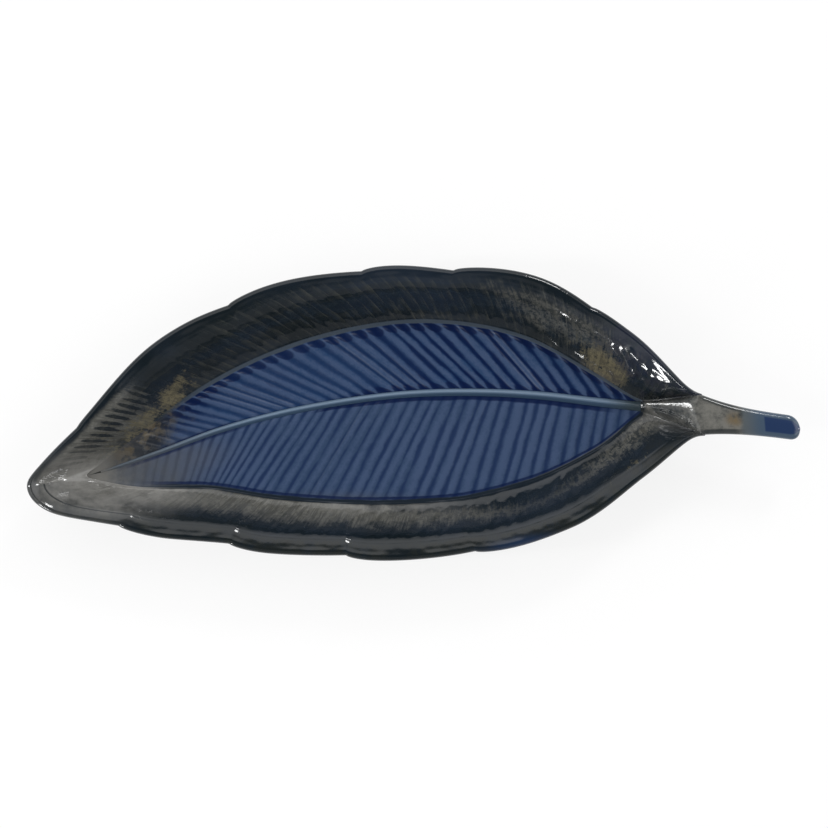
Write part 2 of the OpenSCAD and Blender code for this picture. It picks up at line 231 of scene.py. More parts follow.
@dataclass(frozen=True)
class LeafForm:
    """Plan and heights of the leaf, from which every piece is drawn."""

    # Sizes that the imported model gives
    plate_l: float
    blade_l: float
    tip_slope_l: float
    well_l: float
    foot_h: float
    floor_z: float
    rim_top: float
    far_top_y: float

    # Plan of the blade
    axis_bow: float = 29.5 * MM
    axis_shares: Shares = (0, 0.12, 0.37, 0.655, 0.85, 0.96, 1, 0.95, 0.825, 0.63, 0.44, 0.2, -0.02)
    side_slope_w: float = 24 * MM
    stem_root_w: float = 18.6 * MM
    lobe_d: float = 2.4 * MM
    full_lobe_share: float = 0.2
    lobe_lean_share: float = 0.6
    bunch_share: float = 0.4

    # Heights, thicknesses and the wall's section
    tip_lift: float = 3 * MM
    stem_lift: float = 1.5 * MM
    lip_t: float = 4.5 * MM
    floor_t: float = 5 * MM
    side_climb_shares: Shares = (0, 0.05, 0.145, 0.27, 0.41, 0.575, 0.735, 0.865, 0.945, 0.985, 1)
    end_climb_shares: Shares = (0, 0.03, 0.08, 0.145, 0.225, 0.32, 0.43, 0.56, 0.71, 0.87, 1)
    stem_blend_share: float = 0.28
    tip_blend_share: float = 0.2
    tip_hollow_share: float = 0.6
    tip_ridge_share: float = 0.77
    lip_share: float = 0.78
    lip_end_share: float = 0.88
    steep_limit: float = 1.75

    # Midrib and veins
    midrib_w: float = 4.6 * MM
    midrib_h: float = 1.9 * MM
    midrib_shares: Shares = (0.3, 0.6, 0.72, 0.78, 0.86, 1)
    vein_start_share: float = 0.13
    vein_end_share: float = 0.965
    wall_lean_share: float = 0.075

    # Small relief of the glazed surface
    ledge_h: float = 0.35 * MM
    ledge_w: float = 1.2 * MM
    groove_d: float = 0.3 * MM
    groove_w: float = 0.6 * MM
    band_dip: float = 0.3 * MM
    bead_share: float = 0.09
    wall_rib_h: float = 0.28 * MM
    wall_rib_start: float = 0.03
    wall_rib_rise: float = 0.15
    wall_rib_gap: float = 0.02
    wall_rib_fall: float = 0.2
    band_rise: float = 0.05
    uneven_fade: float = 0.1
    tip_fade: float = 0.06
    stem_fade: float = 0.05
    beads: tuple[Bead, ...] = (
        Bead("low line, outer end", ((614, 348), (621.7, 357.5), (627.5, 366), (634, 373)),
             WALL_CREST, 1.4, 0.95),
        Bead("low line, inner end",
             ((636, 374), (640, 380.5), (644, 380), (650, 387.5), (657, 390), (662.5, 394)),
             WALL_CREST, 1.3, 0.80),
        Bead("high line, left arm", ((627.5, 350), (631, 358), (634, 368), (637, 374)),
             WALL_CREST, 1.1, 0.70),
        Bead("high line, right arm", ((628, 350), (631, 348.5), (636, 357), (642, 366), (647, 370)),
             WALL_CREST, 1.1, 0.65),
        Bead("high line, inner end", ((648, 372), (653, 377), (658, 378), (662, 381), (667, 382)),
             WALL_CREST, 1.0, 0.40),
        Bead("thin line above", ((639, 357.5), (645, 363), (650, 369)), WALL_CREST, 1.0, 0.50),
        Bead("hook at the tip", ((101.3, 499.2), (108, 497.5), (113.5, 497), (115.5, 501)),
             TIP_CREST, 1.4, 0.6),
        Bead("streak at the tip", ((62, 490), (72, 488)), TIP_CREST, 1.3, 0.6),
    )
    wobble_waves: tuple[tuple[float, float, float, float], ...] = (
        (31, 9, 0.4, 0.10), (-14, 27, 1.9, 0.08), (55, 38, 2.6, 0.05), (-71, 49, 0.9, 0.04),
        (118, -93, 4.1, 0.020), (143, 152, 5.2, 0.016),
    )

    @classmethod
    def from_frame(cls) -> "LeafForm":
        """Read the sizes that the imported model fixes."""
        low, high = CAD_BOX
        lip_low, lip_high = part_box("far_lip")
        floor_low, floor_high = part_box("well_floor")
        return cls(
            plate_l=high[0] - low[0],
            blade_l=lip_high.x - lip_low.x,
            tip_slope_l=floor_low.x - lip_low.x,
            well_l=floor_high.x - floor_low.x,
            foot_h=floor_low.z,
            floor_z=floor_high.z,
            rim_top=lip_high.z,
            far_top_y=lip_high.y,
        )

    @property
    def lip_r(self) -> float:
        """Radius of the rounded lip."""
        return self.lip_t / 2

    @property
    def rim_level(self) -> float:
        """Height of the rim before it lifts toward its ends."""
        return self.floor_z + (self.rim_top - self.floor_z - self.tip_lift)

    @property
    def rim_end(self) -> float:
        """Height of the rim where the stem begins."""
        return self.rim_level + self.stem_lift

    def shift(self) -> Array:
        """Return the step from the form's own place to the model's."""
        t = np.linspace(0, 1, FINE_STEPS)
        return np.array([-self.plate_l / 2, self.far_top_y - self.edge(Side.FAR, t)[1].max(), 0.0])

    def along(self, t: Array) -> Array:
        """Return the share of the length that a station lies at."""
        return (1 - np.cos(np.pi * t)) / 2

    def stations(self, count: int) -> Array:
        """Return stations from tip to stem, closer together at both ends."""
        u = np.arange(count + 1) / count
        return u + self.bunch_share * np.sin(2 * np.pi * u) / (2 * np.pi)

    def axis_y(self, x: Array) -> Array:
        """Return the axis's distance from the straight line between the ends."""
        return self.axis_bow * spline(self.axis_shares, x / self.plate_l)

    def lobe(self, side: Side, place: Array) -> Array:
        """Swell of the lobe that a place along the blade lies on."""
        notches = np.asarray(HALVES[side].notches)
        k = np.clip(np.searchsorted(notches, place, side="right") - 1, 0, len(notches) - 2)
        span = notches[k + 1] - notches[k]
        within = np.clip((place - notches[k]) / span, 0, 1)
        depth = self.lobe_d * np.minimum(1, span / self.full_lobe_share)
        return depth * np.sin(np.pi * within**self.lobe_lean_share)

    def edge(self, side: Side, t: Array) -> Plan:
        """Plan of the blade's outer edge."""
        half, x = HALVES[side], self.blade_l * self.along(t)
        reach = spline([half.width * share for share in half.edge] + [self.stem_root_w / 2], t)
        return x, self.axis_y(x) + side.value * (reach + self.lobe(side, self.along(t)))

    def floor_edge(self, side: Side, t: Array) -> Plan:
        """Plan of the floor's edge, where the wall begins."""
        half, x = HALVES[side], self.tip_slope_l + self.well_l * self.along(t)
        flat = half.width - self.side_slope_w
        reach = spline([flat * share for share in half.floor_edge] + [self.midrib_w / 2], t)
        return x, self.axis_y(x) + side.value * reach

    def rim_z(self, t: Array) -> Array:
        """Height of the rim, which lifts toward the tip and the stem."""
        place = self.along(t)
        return self.rim_level + self.tip_lift * (1 - place) ** 4 + self.stem_lift * place**4

    def lip_centre(self, side: Side, t: Array) -> Plan:
        """Plan of the line round which the lip is rounded."""
        (ax, ay), (bx, by) = self.floor_edge(side, t), self.edge(side, t)
        run = np.hypot(bx - ax, by - ay)
        return bx - self.lip_r * (bx - ax) / run, by - self.lip_r * (by - ay) / run

    def wall_run(self, side: Side, t: Array) -> Array:
        """Width of the wall in plan, up to the lip's rounding."""
        (ax, ay), (bx, by) = self.floor_edge(side, t), self.lip_centre(side, t)
        return np.hypot(bx - ax, by - ay)

    def rim_length(self, side: Side, t: Array) -> Array:
        """Length of the lip from the tip to a station."""
        fine = np.linspace(0, 1, FINE_STEPS // 2 + 1)
        x, y = self.lip_centre(side, fine)
        run = np.concatenate([[0], np.cumsum(np.hypot(np.diff(x), np.diff(y)))])
        return np.interp(t, fine, run)

    def stem_blend(self, t: Array) -> Array:
        """How far the wall has turned into the hollow beside the stem."""
        return ease((t - 1 + self.stem_blend_share) / self.stem_blend_share)

    def lip_start(self, t: Array) -> Array:
        """Share of the wall's run at which the lip band begins."""
        return mix(self.lip_share, self.lip_end_share, self.stem_blend(t))

    def climb(self, t: Array, q: Array) -> Array:
        """Climb of the wall as a share of its height, at share q of its run."""
        tip = self.tip_hollow_share * ease(1 - t / self.tip_blend_share)
        hollow = np.maximum(self.stem_blend(t), tip)
        return mix(spline(self.side_climb_shares, q), spline(self.end_climb_shares, q), hollow)

    def wall_z(self, t: Array, q: Array) -> Array:
        """Height of the smooth wall at share q of its run."""
        return mix(self.floor_z, self.rim_z(t), self.climb(t, q))

    def tip_ridge(self, t: Array, q: Array) -> Array:
        """Height of the midrib where it runs out up the slope of the tip."""
        return self.midrib_h * ease(1 - q / self.tip_ridge_share) * ease(1 - t / self.tip_blend_share * 2)

    def midrib_half(self, root: Array) -> Array:
        """Half of the midrib's width, which grows toward the stem."""
        return self.midrib_w / 2 * spline(self.midrib_shares, root)

    def root_share(self, side: Side, t: Array) -> Array:
        """Place on the midrib of the vein that ends at a station of the floor's edge."""
        root = np.linspace(0, 1, FINE_STEPS)
        return np.interp(self.along(t), root - spline(HALVES[side].vein_leans, root), root)

    def vein_phase(self, side: Side, root: Array) -> Array:
        """Number of veins, counted from the tip, up to a place on the midrib."""
        span = self.vein_end_share - self.vein_start_share
        return (root - self.vein_start_share) / span * HALVES[side].vein_n

    def open_ends(self, t: Array) -> Array:
        """Fade of the small relief at both ends of the blade, where the walls meet."""
        place = self.along(t)
        return ease(place / self.tip_fade) * ease((1 - place) / self.stem_fade)

    def wobble(self, x: Array, y: Array) -> Array:
        """Slight unevenness of the hand finished surface, in metres."""
        return MM * sum(h * np.sin(2 * np.pi * (a * x + b * y) + p) for a, b, p, h in self.wobble_waves)

    def wall_relief(self, side: Side, t: Array, q: Array) -> Array:
        """Height that the ledge, ribs, groove and band add to the smooth wall.

        Args:
            side: Side of the leaf.
            t: Stations.
            q: Shares of the wall's run.

        Returns:
            The added height in metres.
        """
        run, ends, start = self.wall_run(side, t), self.open_ends(t), self.lip_start(t)
        phase = self.vein_phase(side, self.root_share(side, t) + self.wall_lean_share * q)
        # The pitch and the height of the ribs waver, so that no two of them are alike
        turn = phase + 0.18 * np.sin(1.7 * phase) + 0.1 * np.sin(4.3 * phase + 9 * q)
        height = 0.6 + 0.4 * np.sin(0.9 * phase + 3 * q) * np.sin(2.3 * phase)
        rise = ease((q - self.wall_rib_start) / self.wall_rib_rise)
        field = rise * ease((start - self.wall_rib_gap - q) / self.wall_rib_fall) * ends
        ribs = self.wall_rib_h * height * (0.5 + 0.5 * np.cos(2 * np.pi * turn)) * field
        ledge = self.ledge_h * bell(q * run, self.ledge_w)
        groove = self.groove_d * HALVES[side].groove_share * bell((q - start) * run, self.groove_w)
        bead = 1 - ease((q - 1 + self.bead_share) / self.bead_share)
        band = self.band_dip * ease((q - start) / self.band_rise) * bead
        uneven = self.wobble(self.blade_l * self.along(t), run * q * side.value)
        uneven = uneven * ease(q / self.uneven_fade) * ease((1 - q) / self.uneven_fade)
        return ribs + (ledge - groove - band + uneven) * ends

    def wall_top(self, side: Side, t: Array, q: Array) -> Array:
        """Points of the wall's inside.

        Args:
            side: Side of the leaf.
            t: Stations, as a column.
            q: Shares of the wall's run, one row for each station.

        Returns:
            Points, one row for each station.
        """
        (ax, ay), (bx, by) = self.floor_edge(side, t), self.lip_centre(side, t)
        x, y = mix(ax, bx, q), mix(ay, by, q)
        z = self.wall_z(t, q) + self.tip_ridge(t, q)
        z = z + MM * sum(bead.rise(x / MM, y / MM) for bead in self.beads)
        return stacked(x, y, z + self.wall_relief(side, t, q))

    def wall_under(self, side: Side, t: Array, q: Array) -> Array:
        """Points of the wall's underside, with the wall's thickness square to its face."""
        (ax, ay), (bx, by) = self.floor_edge(side, t), self.lip_centre(side, t)
        step = 0.02
        rise = (self.climb(t, q + step) - self.climb(t, q - step)) / (2 * step)
        slope = rise * (self.rim_z(t) - self.floor_z) / self.wall_run(side, t)
        depth = self.lip_t * np.minimum(np.sqrt(1 + slope * slope), self.steep_limit)
        depth = mix(self.floor_t, depth, ease(q / 0.15))
        depth = mix(depth, self.lip_t, ease((q - 0.9) / 0.1))
        return stacked(mix(ax, bx, q), mix(ay, by, q), self.wall_z(t, q) - depth)

    def lip_round(self, side: Side, t: Array, angle: Array) -> Array:
        """Points round the lip's edge, from 90 degrees on top to -90 underneath."""
        (ax, ay), (bx, by) = self.lip_centre(side, t), self.edge(side, t)
        z = self.rim_z(t) - self.lip_r + self.lip_r * np.sin(angle)
        return stacked(mix(ax, bx, np.cos(angle)), mix(ay, by, np.cos(angle)), z)


class Skin:
    """Points and faces of one closed piece, with what its glaze reads at each point."""

    def __init__(self, name: str, sheets: Sequence[Sheet], open_seams: Sequence[int] = (),
                 open_from: int = 0, wrap: bool = False) -> None:
        """Close a ring of sheets that lie side by side into one solid.

        Args:
            name: Name of the piece.
            sheets: Points and marks of each sheet, in order round the section.
            open_seams: Sheets after which the section crosses to the next one by a face that shows.
            open_from: Row from which such a face shows.
            wrap: Whether the last row meets the first, so that the piece needs no ends.
        """
        self.name = name
        points = np.concatenate([sheet[0] for sheet in sheets], axis=1)
        rows, columns = points.shape[:2]
        self.points = points.reshape(-1, 3)
        self.marks = {key: self._flat(sheets, key) for key in sheets[0][1]}
        quads, hidden, start = [], [], 0
        for k, (sheet, _) in enumerate(sheets):
            width = sheet.shape[1]
            quads.append(self._grid(rows, width, start, columns))
            hidden.append(np.zeros(len(quads[-1]), bool))
            last, after = start + width - 1, (start + width) % columns
            i = np.arange(rows - 1) * columns
            quads.append(np.stack([i + last, i + after, i + after + columns, i + last + columns], axis=1))
            hidden.append((np.arange(rows - 1) < open_from) | (k not in open_seams))
            start += width
        self.quads = np.concatenate(quads)
        self.hidden = np.concatenate(hidden)
        ring = np.arange(columns)
        self.caps = [] if wrap else [ring[::-1], ring + (rows - 1) * columns]

    @staticmethod
    def _flat(sheets: Sequence[Sheet], key: str) -> Array:
        """Join one kind of mark over all sheets."""
        parts = [np.broadcast_to(marks[key], points.shape[:2]) for points, marks in sheets]
        return np.concatenate(parts, axis=1).reshape(-1)

    @staticmethod
    def _grid(rows: int, columns: int, first: int, stride: int) -> Array:
        """Faces of a sheet whose first point, width and row length are given."""
        i, j = np.meshgrid(np.arange(rows - 1), np.arange(columns - 1), indexing="ij")
        a = (first + i * stride + j).reshape(-1)
        return np.stack([a, a + 1, a + stride + 1, a + stride], axis=1)

    def place_keys(self) -> Array:
        """Whole numbers that are the same for points that coincide."""
        return np.round(self.points / WELD).astype(np.int64)

    def weld(self) -> None:
        """Join points that coincide, drop the faces that vanish and turn the faces outward."""
        _, first, same = np.unique(self.place_keys(), axis=0, return_index=True, return_inverse=True)
        same = same.reshape(-1)
        self.points = self.points[first]
        self.marks = {key: value[first] for key, value in self.marks.items()}
        quads = same[self.quads]
        corners = (quads != np.roll(quads, 1, axis=1)).sum(axis=1)
        folded = (quads[:, 0] == quads[:, 2]) | (quads[:, 1] == quads[:, 3])
        kept = (corners > 2) & ~folded
        self.quads, self.hidden = quads[kept], self.hidden[kept]
        caps = [same[cap] for cap in self.caps]
        caps = [cap[cap != np.roll(cap, 1)] for cap in caps]
        self.caps = [cap for cap in caps if len(cap) > 2 and len(np.unique(cap)) == len(cap)]
        if self.volume() < 0:
            self.quads = self.quads[:, ::-1]
            self.caps = [cap[::-1] for cap in self.caps]

    def quad_corners(self) -> list[Array]:
        """The four corners of every quad."""
        return [self.points[self.quads[:, k]] for k in range(4)]

    def volume(self) -> float:
        """Signed volume of the closed piece."""
        a, b, c, d = self.quad_corners()
        total = np.einsum("ij,ij->", a, np.cross(b, c)) + np.einsum("ij,ij->", a, np.cross(c, d))
        for cap in self.caps:
            p = self.points[cap]
            total += np.einsum("ij,ij->", np.broadcast_to(p[0], p[1:-1].shape), np.cross(p[1:-1], p[2:]))
        return float(total) / 6

    def quad_vectors(self) -> Array:
        """Normal of each quad, as long as its area."""
        a, b, c, d = self.quad_corners()
        return np.cross(c - a, d - b) / 2

    def corner_mask(self) -> Array:
        """Corners of the quads that are left where two of them coincide."""
        return self.quads != np.roll(self.quads, 1, axis=1)

    def faces(self) -> list[list[int]]:
        """Point numbers of every face."""
        rows = [row[keep].tolist() for row, keep in zip(self.quads, self.corner_mask())]
        return rows + [cap.tolist() for cap in self.caps]


def share_normals(skins: Sequence[Skin]) -> list[Array]:
    """Work out corner normals that run on over the seams between pieces.

    Args:
        skins: All pieces whose surfaces belong together.

    Returns:
        For each piece, one normal for each corner of each face.
    """
    keys = [skin.place_keys() for skin in skins]
    _, same = np.unique(np.concatenate(keys), axis=0, return_inverse=True)
    same = same.reshape(-1)
    total = np.zeros((same.max() + 1, 3))
    starts = np.cumsum([0] + [len(key) for key in keys])
    vectors = [skin.quad_vectors() for skin in skins]
    for skin, start, normals in zip(skins, starts, vectors):
        shown = ~skin.hidden
        mask = skin.corner_mask()[shown]
        quads = same[start + skin.quads[shown]]
        for k in range(4):
            np.add.at(total, quads[mask[:, k], k], normals[shown][mask[:, k]])
    corners = []
    for skin, start, normals in zip(skins, starts, vectors):
        smooth = total[same[start + skin.quads]]
        smooth[skin.hidden] = normals[skin.hidden][:, None, :]
        rows = [smooth[skin.corner_mask()]]
        for cap in skin.caps:
            p = skin.points[cap]
            rows.append(np.broadcast_to(np.cross(p, np.roll(p, -1, axis=0)).sum(axis=0), p.shape))
        joined = np.concatenate(rows)
        corners.append(joined / np.maximum(np.linalg.norm(joined, axis=1, keepdims=True), TINY))
    return corners


def make_piece(skin: Skin, normals: Array, node: str, slot: str, finish: bpy.types.Material) -> None:
    """Turn a skin into an object that stands for a node of the model.

    Args:
        skin: The finished points and faces, in the model's place.
        normals: Corner normals.
        node: Node of the model that the piece replaces.
        slot: Material slot of the record, not used.
        finish: Its material.
    """
    mesh = bpy.data.meshes.new(skin.name)
    mesh.from_pydata(skin.points.tolist(), [], skin.faces())
    for name, values in skin.marks.items():
        layer = mesh.attributes.new(name, "FLOAT", "POINT")
        layer.data.foreach_set("value", values.astype(np.float32))
    mesh.shade_smooth()
    mesh.normals_split_custom_set(normals.tolist())
    mesh.materials.append(finish)
    piece = put(skin.name, mesh)
    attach(piece, BODY)
    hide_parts(node)
    LOG.info("%s: %d points, %d faces", skin.name, len(mesh.vertices), len(mesh.polygons))


@dataclass(frozen=True)
class Patch:
    """A soft oval mark in the glaze, placed in millimetres in the plan of the model."""

    x: float
    y: float
    length: float
    width: float
    turn: float = 0.0
    strength: float = 1.0

    def paint(self, x: Array, y: Array) -> Array:
        """Strength of the mark at points in the plan."""
        turn = math.radians(self.turn)
        dx, dy = x / MM - self.x, y / MM - self.y
        u = (dx * math.cos(turn) + dy * math.sin(turn)) / self.length
        v = (dy * math.cos(turn) - dx * math.sin(turn)) / self.width
        return self.strength * np.exp(-((u * u + v * v) ** 1.5))


@dataclass(frozen=True)
class GlazeMap:
    """Where the glaze shows brown film, with painted reflection in it, breaks to ochre, pools navy or lies
    pale as painted reflection.
    """

    brown: tuple[Patch, ...] = (
        Patch(-145, -2, 30, 20, 40),
        Patch(-152, -22, 30, 14, -10, 0.9),
        Patch(-100, -40, 46, 12, -3),
        Patch(-40, -50, 60, 11, -8),
        Patch(30, -57, 55, 11, 4, 0.9),
        Patch(80, -43, 34, 10, 33, 0.85),
        Patch(112, -18, 26, 10, 25, 0.6),
        Patch(74, 36, 44, 9, -30, 0.62),
        Patch(20, 44, 40, 5, -10, 0.3),
        Patch(125, -12, 28, 12, -12, 0.6),
    )
    ochre: tuple[Patch, ...] = (
        Patch(-121, 5, 21, 8, 52, 0.62),
        Patch(-106, 20, 14, 6, 42, 0.6),
        Patch(-143, -4, 20, 12, 45, 0.5),
        Patch(93, 12, 15, 6, -38, 0.9),
        Patch(101, 17, 18, 9, -40, 0.3),
        Patch(82, 27, 20, 6, -36, 0.4),
        Patch(104, 38, 14, 3, -42, 0.75),
        Patch(150, -15, 4, 3, -12, 0.9),
        Patch(100, -34, 16, 3, 32, 0.55),
    )
    navy: tuple[Patch, ...] = (
        Patch(172, -21, 11, 7, -12, 1.0),
        Patch(47, -65, 16, 3.5, 6, 0.7),
        Patch(-99, 12, 16, 5, 42, 0.9),
        Patch(40, 22, 62, 24, -20, 0.9),
        Patch(-2, 5, 42, 9, 6, 0.9),
    )
    # Pale: painted reflection
    pale: tuple[Patch, ...] = (
        Patch(-160, -18, 17, 9, 24, 1.0),
        Patch(-132, -29, 30, 9, 0, 0.85),
        Patch(-122, -18, 32, 11, 12, 0.75),
        Patch(-142, -21, 20, 9, 10, 0.7),
        Patch(125, -13, 22, 6, -12, 0.35),
        Patch(-30, -41, 44, 5, -6, 0.6),
    )
    calm: tuple[Patch, ...] = (Patch(-112, 38, 36, 13, 40),)
    teeth: tuple[Patch, ...] = (Patch(-145, 2, 34, 16, 45),)
    lost: tuple[Patch, ...] = (Patch(-136, -6, 36, 16, 38), Patch(-146, -20, 28, 17, 5))

    def paint(self, points: Array) -> Marks:
        """Work out every kind of mark at points in the model's place."""
        x, y = points[:, 0], points[:, 1]
        return {kind.name: np.minimum(sum(patch.paint(x, y) for patch in getattr(self, kind.name)), 1.0)
                for kind in fields(self)}


@dataclass(frozen=True)
class RimWalls:
    """The sloping walls, the slope of the tip and the rounded lips."""

    form: LeafForm
    rows: int = 540
    tip_rows: int = 90
    top_columns: int = 56
    under_columns: int = 12
    band_columns: int = 11
    round_columns: int = 10
    crowd_share: float = 0.65
    crowd_power: float = 1.15
    lean_end_share: float = 0.3

    def _marks(self, side: Side, t: Array, q: Array, under: float) -> Marks:
        """Values that the rim glaze reads at points of the wall."""
        form = self.form
        run, start = form.wall_run(side, t), form.lip_start(t)
        lean = mix(*HALVES[side].stroke_leans, ease(form.along(t) / self.lean_end_share))
        return {
            "edge_mm": run * q / MM,
            "stroke_mm": (form.rim_length(side, t) + lean * run * q) / MM,
            "reach": np.where(q < start, q / start, 1 + (q - start) / (1 - start)),
            "side": np.broadcast_to(float(side.value), q.shape),
            "under": np.broadcast_to(under, q.shape),
        }

    def _top(self, side: Side, t: Array, q: Array) -> Sheet:
        """Inside of the wall."""
        return self.form.wall_top(side, t, q), self._marks(side, t, q, 0.0)

    def _under(self, side: Side, t: Array, q: Array) -> Sheet:
        """Underside of the wall."""
        return self.form.wall_under(side, t, q), self._marks(side, t, q, 1.0)

    def _wall_sheets(self, side: Side, t: Array) -> list[Sheet]:
        """Inside and underside of the wall over some stations."""
        t = t[:, None]
        share = np.linspace(0, 1, self.top_columns)
        share = (1 - self.crowd_share) * share + self.crowd_share * share**self.crowd_power
        low = np.linspace(1, 0, self.under_columns)
        start = self.form.lip_start(t)
        return [self._top(side, t, share[None, :] * start), self._under(side, t, low[None, :] * start)]

    def wall(self, side: Side) -> Skin:
        """Make one of the long side walls."""
        t = self.form.stations(self.rows)[self.tip_rows:]
        return Skin(f"{side.name.lower()}_wall_glazed", self._wall_sheets(side, t))

    def tip(self) -> Skin:
        """Make the slope that climbs to the tip, over both sides at once."""
        t = self.form.stations(self.rows)[: self.tip_rows + 1]
        both = []
        for far, near in zip(self._wall_sheets(Side.FAR, t[::-1]), self._wall_sheets(Side.NEAR, t[1:])):
            marks = {key: np.concatenate([far[1][key], near[1][key]], axis=0) for key in far[1]}
            both.append((np.concatenate([far[0], near[0]], axis=0), marks))
        return Skin("tip_wall_glazed", both)

    def lip(self, side: Side) -> Skin:
        """Make the lip band and its rounded edge on one side."""
        t = self.form.stations(self.rows)[:, None]
        over = mix(self.form.lip_start(t), 1.0, np.linspace(0, 1, self.band_columns)[None, :])
        angle = np.radians(np.linspace(90, -90, self.round_columns + 2)[1:-1])[None, :] + 0 * t
        rounded = self._marks(side, t, 1 + 0 * angle, 0.0)
        rounded["reach"] = 2 + (np.pi / 2 - angle) / np.pi
        rounded["under"] = ease(-angle / 0.8)
        sheets = [
            self._top(side, t, over),
            (self.form.lip_round(side, t, angle), rounded),
            self._under(side, t, over[:, ::-1]),
        ]
        return Skin(f"{side.name.lower()}_lip_glazed", sheets, open_seams=(0, 1))


@dataclass(frozen=True)
class VeinedFloor:
    """The floor of the dish: the midrib and the two fields of veins."""

    form: LeafForm
    rows: int = 540
    columns: int = 56
    crowd_share: float = 0.35
    film_h: float = 0.06 * MM
    wall_gap: float = 1.6 * MM
    rib_gap: float = 0.3 * MM
    fade: float = 2.4 * MM
    midrib_rows: int = 300
    midrib_columns: int = 23
    midrib_start: float = 0.025
    midrib_lean: float = 0.12
    midrib_power: float = 0.85
    tuck_share: float = 0.55

    def _relief(self, side: Side, t: Array, root: Array, to_rib: Array,
                to_wall: Array) -> tuple[Array, Array]:
        """Height of the veins above the floor.

        Args:
            side: Side of the leaf.
            t: Stations of the floor's edge.
            root: Places on the midrib that the veins start from.
            to_rib: Distances from the midrib.
            to_wall: Distances from the wall.

        Returns:
            Heights in metres, and the veins counted up to each point.
        """
        form, half = self.form, HALVES[side]
        phase = form.vein_phase(side, root) + 0 * to_rib
        # The veins' pitch wavers a little along each vein and from one to the next
        phase = phase + 0.09 * np.sin(1.3 * phase + 40 * to_rib) + 0.05 * np.sin(3.1 * phase)
        rib = (0.5 - 0.5 * np.cos(2 * np.pi * phase)) ** half.vein_power
        outer = ease((to_wall - self.wall_gap) / self.fade)
        inner = ease((to_rib - self.rib_gap) / self.fade)
        span = ease((root - form.vein_start_share + 0.03) / 0.05)
        span = span * ease((form.vein_end_share - root + 0.01) / 0.02)
        depth = 0.85 + 0.15 * np.sin(0.7 * phase + 1)
        ledge = form.ledge_h * bell(to_wall, form.ledge_w) * form.open_ends(t)
        return self.film_h + half.vein_h * rib * depth * outer * inner * span + ledge, phase

    def field(self, side: Side) -> Skin:
        """Make the veined half of the floor on one side."""
        form = self.form
        t = form.stations(self.rows)[:, None]
        share = np.linspace(0, 1, self.columns)[None, :]
        w = share - self.crowd_share * np.sin(2 * np.pi * share) / (2 * np.pi)
        root = form.root_share(side, t)
        tuck = form.midrib_half(root) * self.tuck_share
        rx = form.tip_slope_l + form.well_l * root
        ry = form.axis_y(rx) + side.value * tuck * ease(root / 0.03)
        ex, ey = form.floor_edge(side, t)
        run = np.hypot(ex - rx, ey - ry)
        to_rib = np.maximum(run * w - form.midrib_half(root) + tuck, 0)
        to_wall = run * (1 - w)
        height, phase = self._relief(side, t, root, to_rib, to_wall)
        top = stacked(mix(rx, ex, w), mix(ry, ey, w), form.floor_z + height)
        top[:, -1, :] = form.wall_top(side, t, 0 * t)[:, 0, :]
        low = top[:, ::-1, :].copy()
        low[..., 2] = form.floor_z
        marks = {
            "vein": phase,
            "edge_mm": -to_wall / MM,
            "spine_mm": to_rib / MM,
            "side": side.value + 0 * phase,
        }
        turned = {key: value[:, ::-1] for key, value in marks.items()}
        return Skin(f"{side.name.lower()}_vein_field", [(top, marks), (low, turned)])

    def midrib(self) -> Skin:
        """Make the rounded rib along the axis."""
        form = self.form
        s = np.linspace(0, 1, self.midrib_rows)[:, None]
        root = mix(self.midrib_start, 1.0, s)
        x = form.tip_slope_l + form.well_l * root
        v = np.linspace(1, -1, self.midrib_columns)[None, :]
        half = form.midrib_half(root) * mix(0.6, 1.0, ease(s / 0.04))
        end = 1 - 0.35 * ease((s - 0.985) / 0.015)
        crest = form.midrib_h * spline(form.midrib_shares, s) * end
        leaning = np.clip(v - self.midrib_lean * (1 - v * v), -1, 1)
        up = crest * np.cos(np.pi / 2 * leaning) ** self.midrib_power
        heading = np.gradient(form.axis_y(x[:, 0]), x[:, 0])[:, None]
        length = np.hypot(1, heading)
        across = v * half
        top = stacked(x - across * heading / length, form.axis_y(x) + across / length, form.floor_z + up)
        low = top[:, [-1, 0], :].copy()
        low[..., 2] = form.floor_z
        marks = {
            "vein": 0 * across,
            "edge_mm": -20 + 0 * across,
            "spine_mm": -1 - np.cos(np.pi / 2 * v) + 0 * s,
            "side": v + 0 * s,
        }
        flat = {key: np.zeros((1, 1)) for key in marks}
        return Skin("midrib_bead", [(top, marks), (low, flat)])


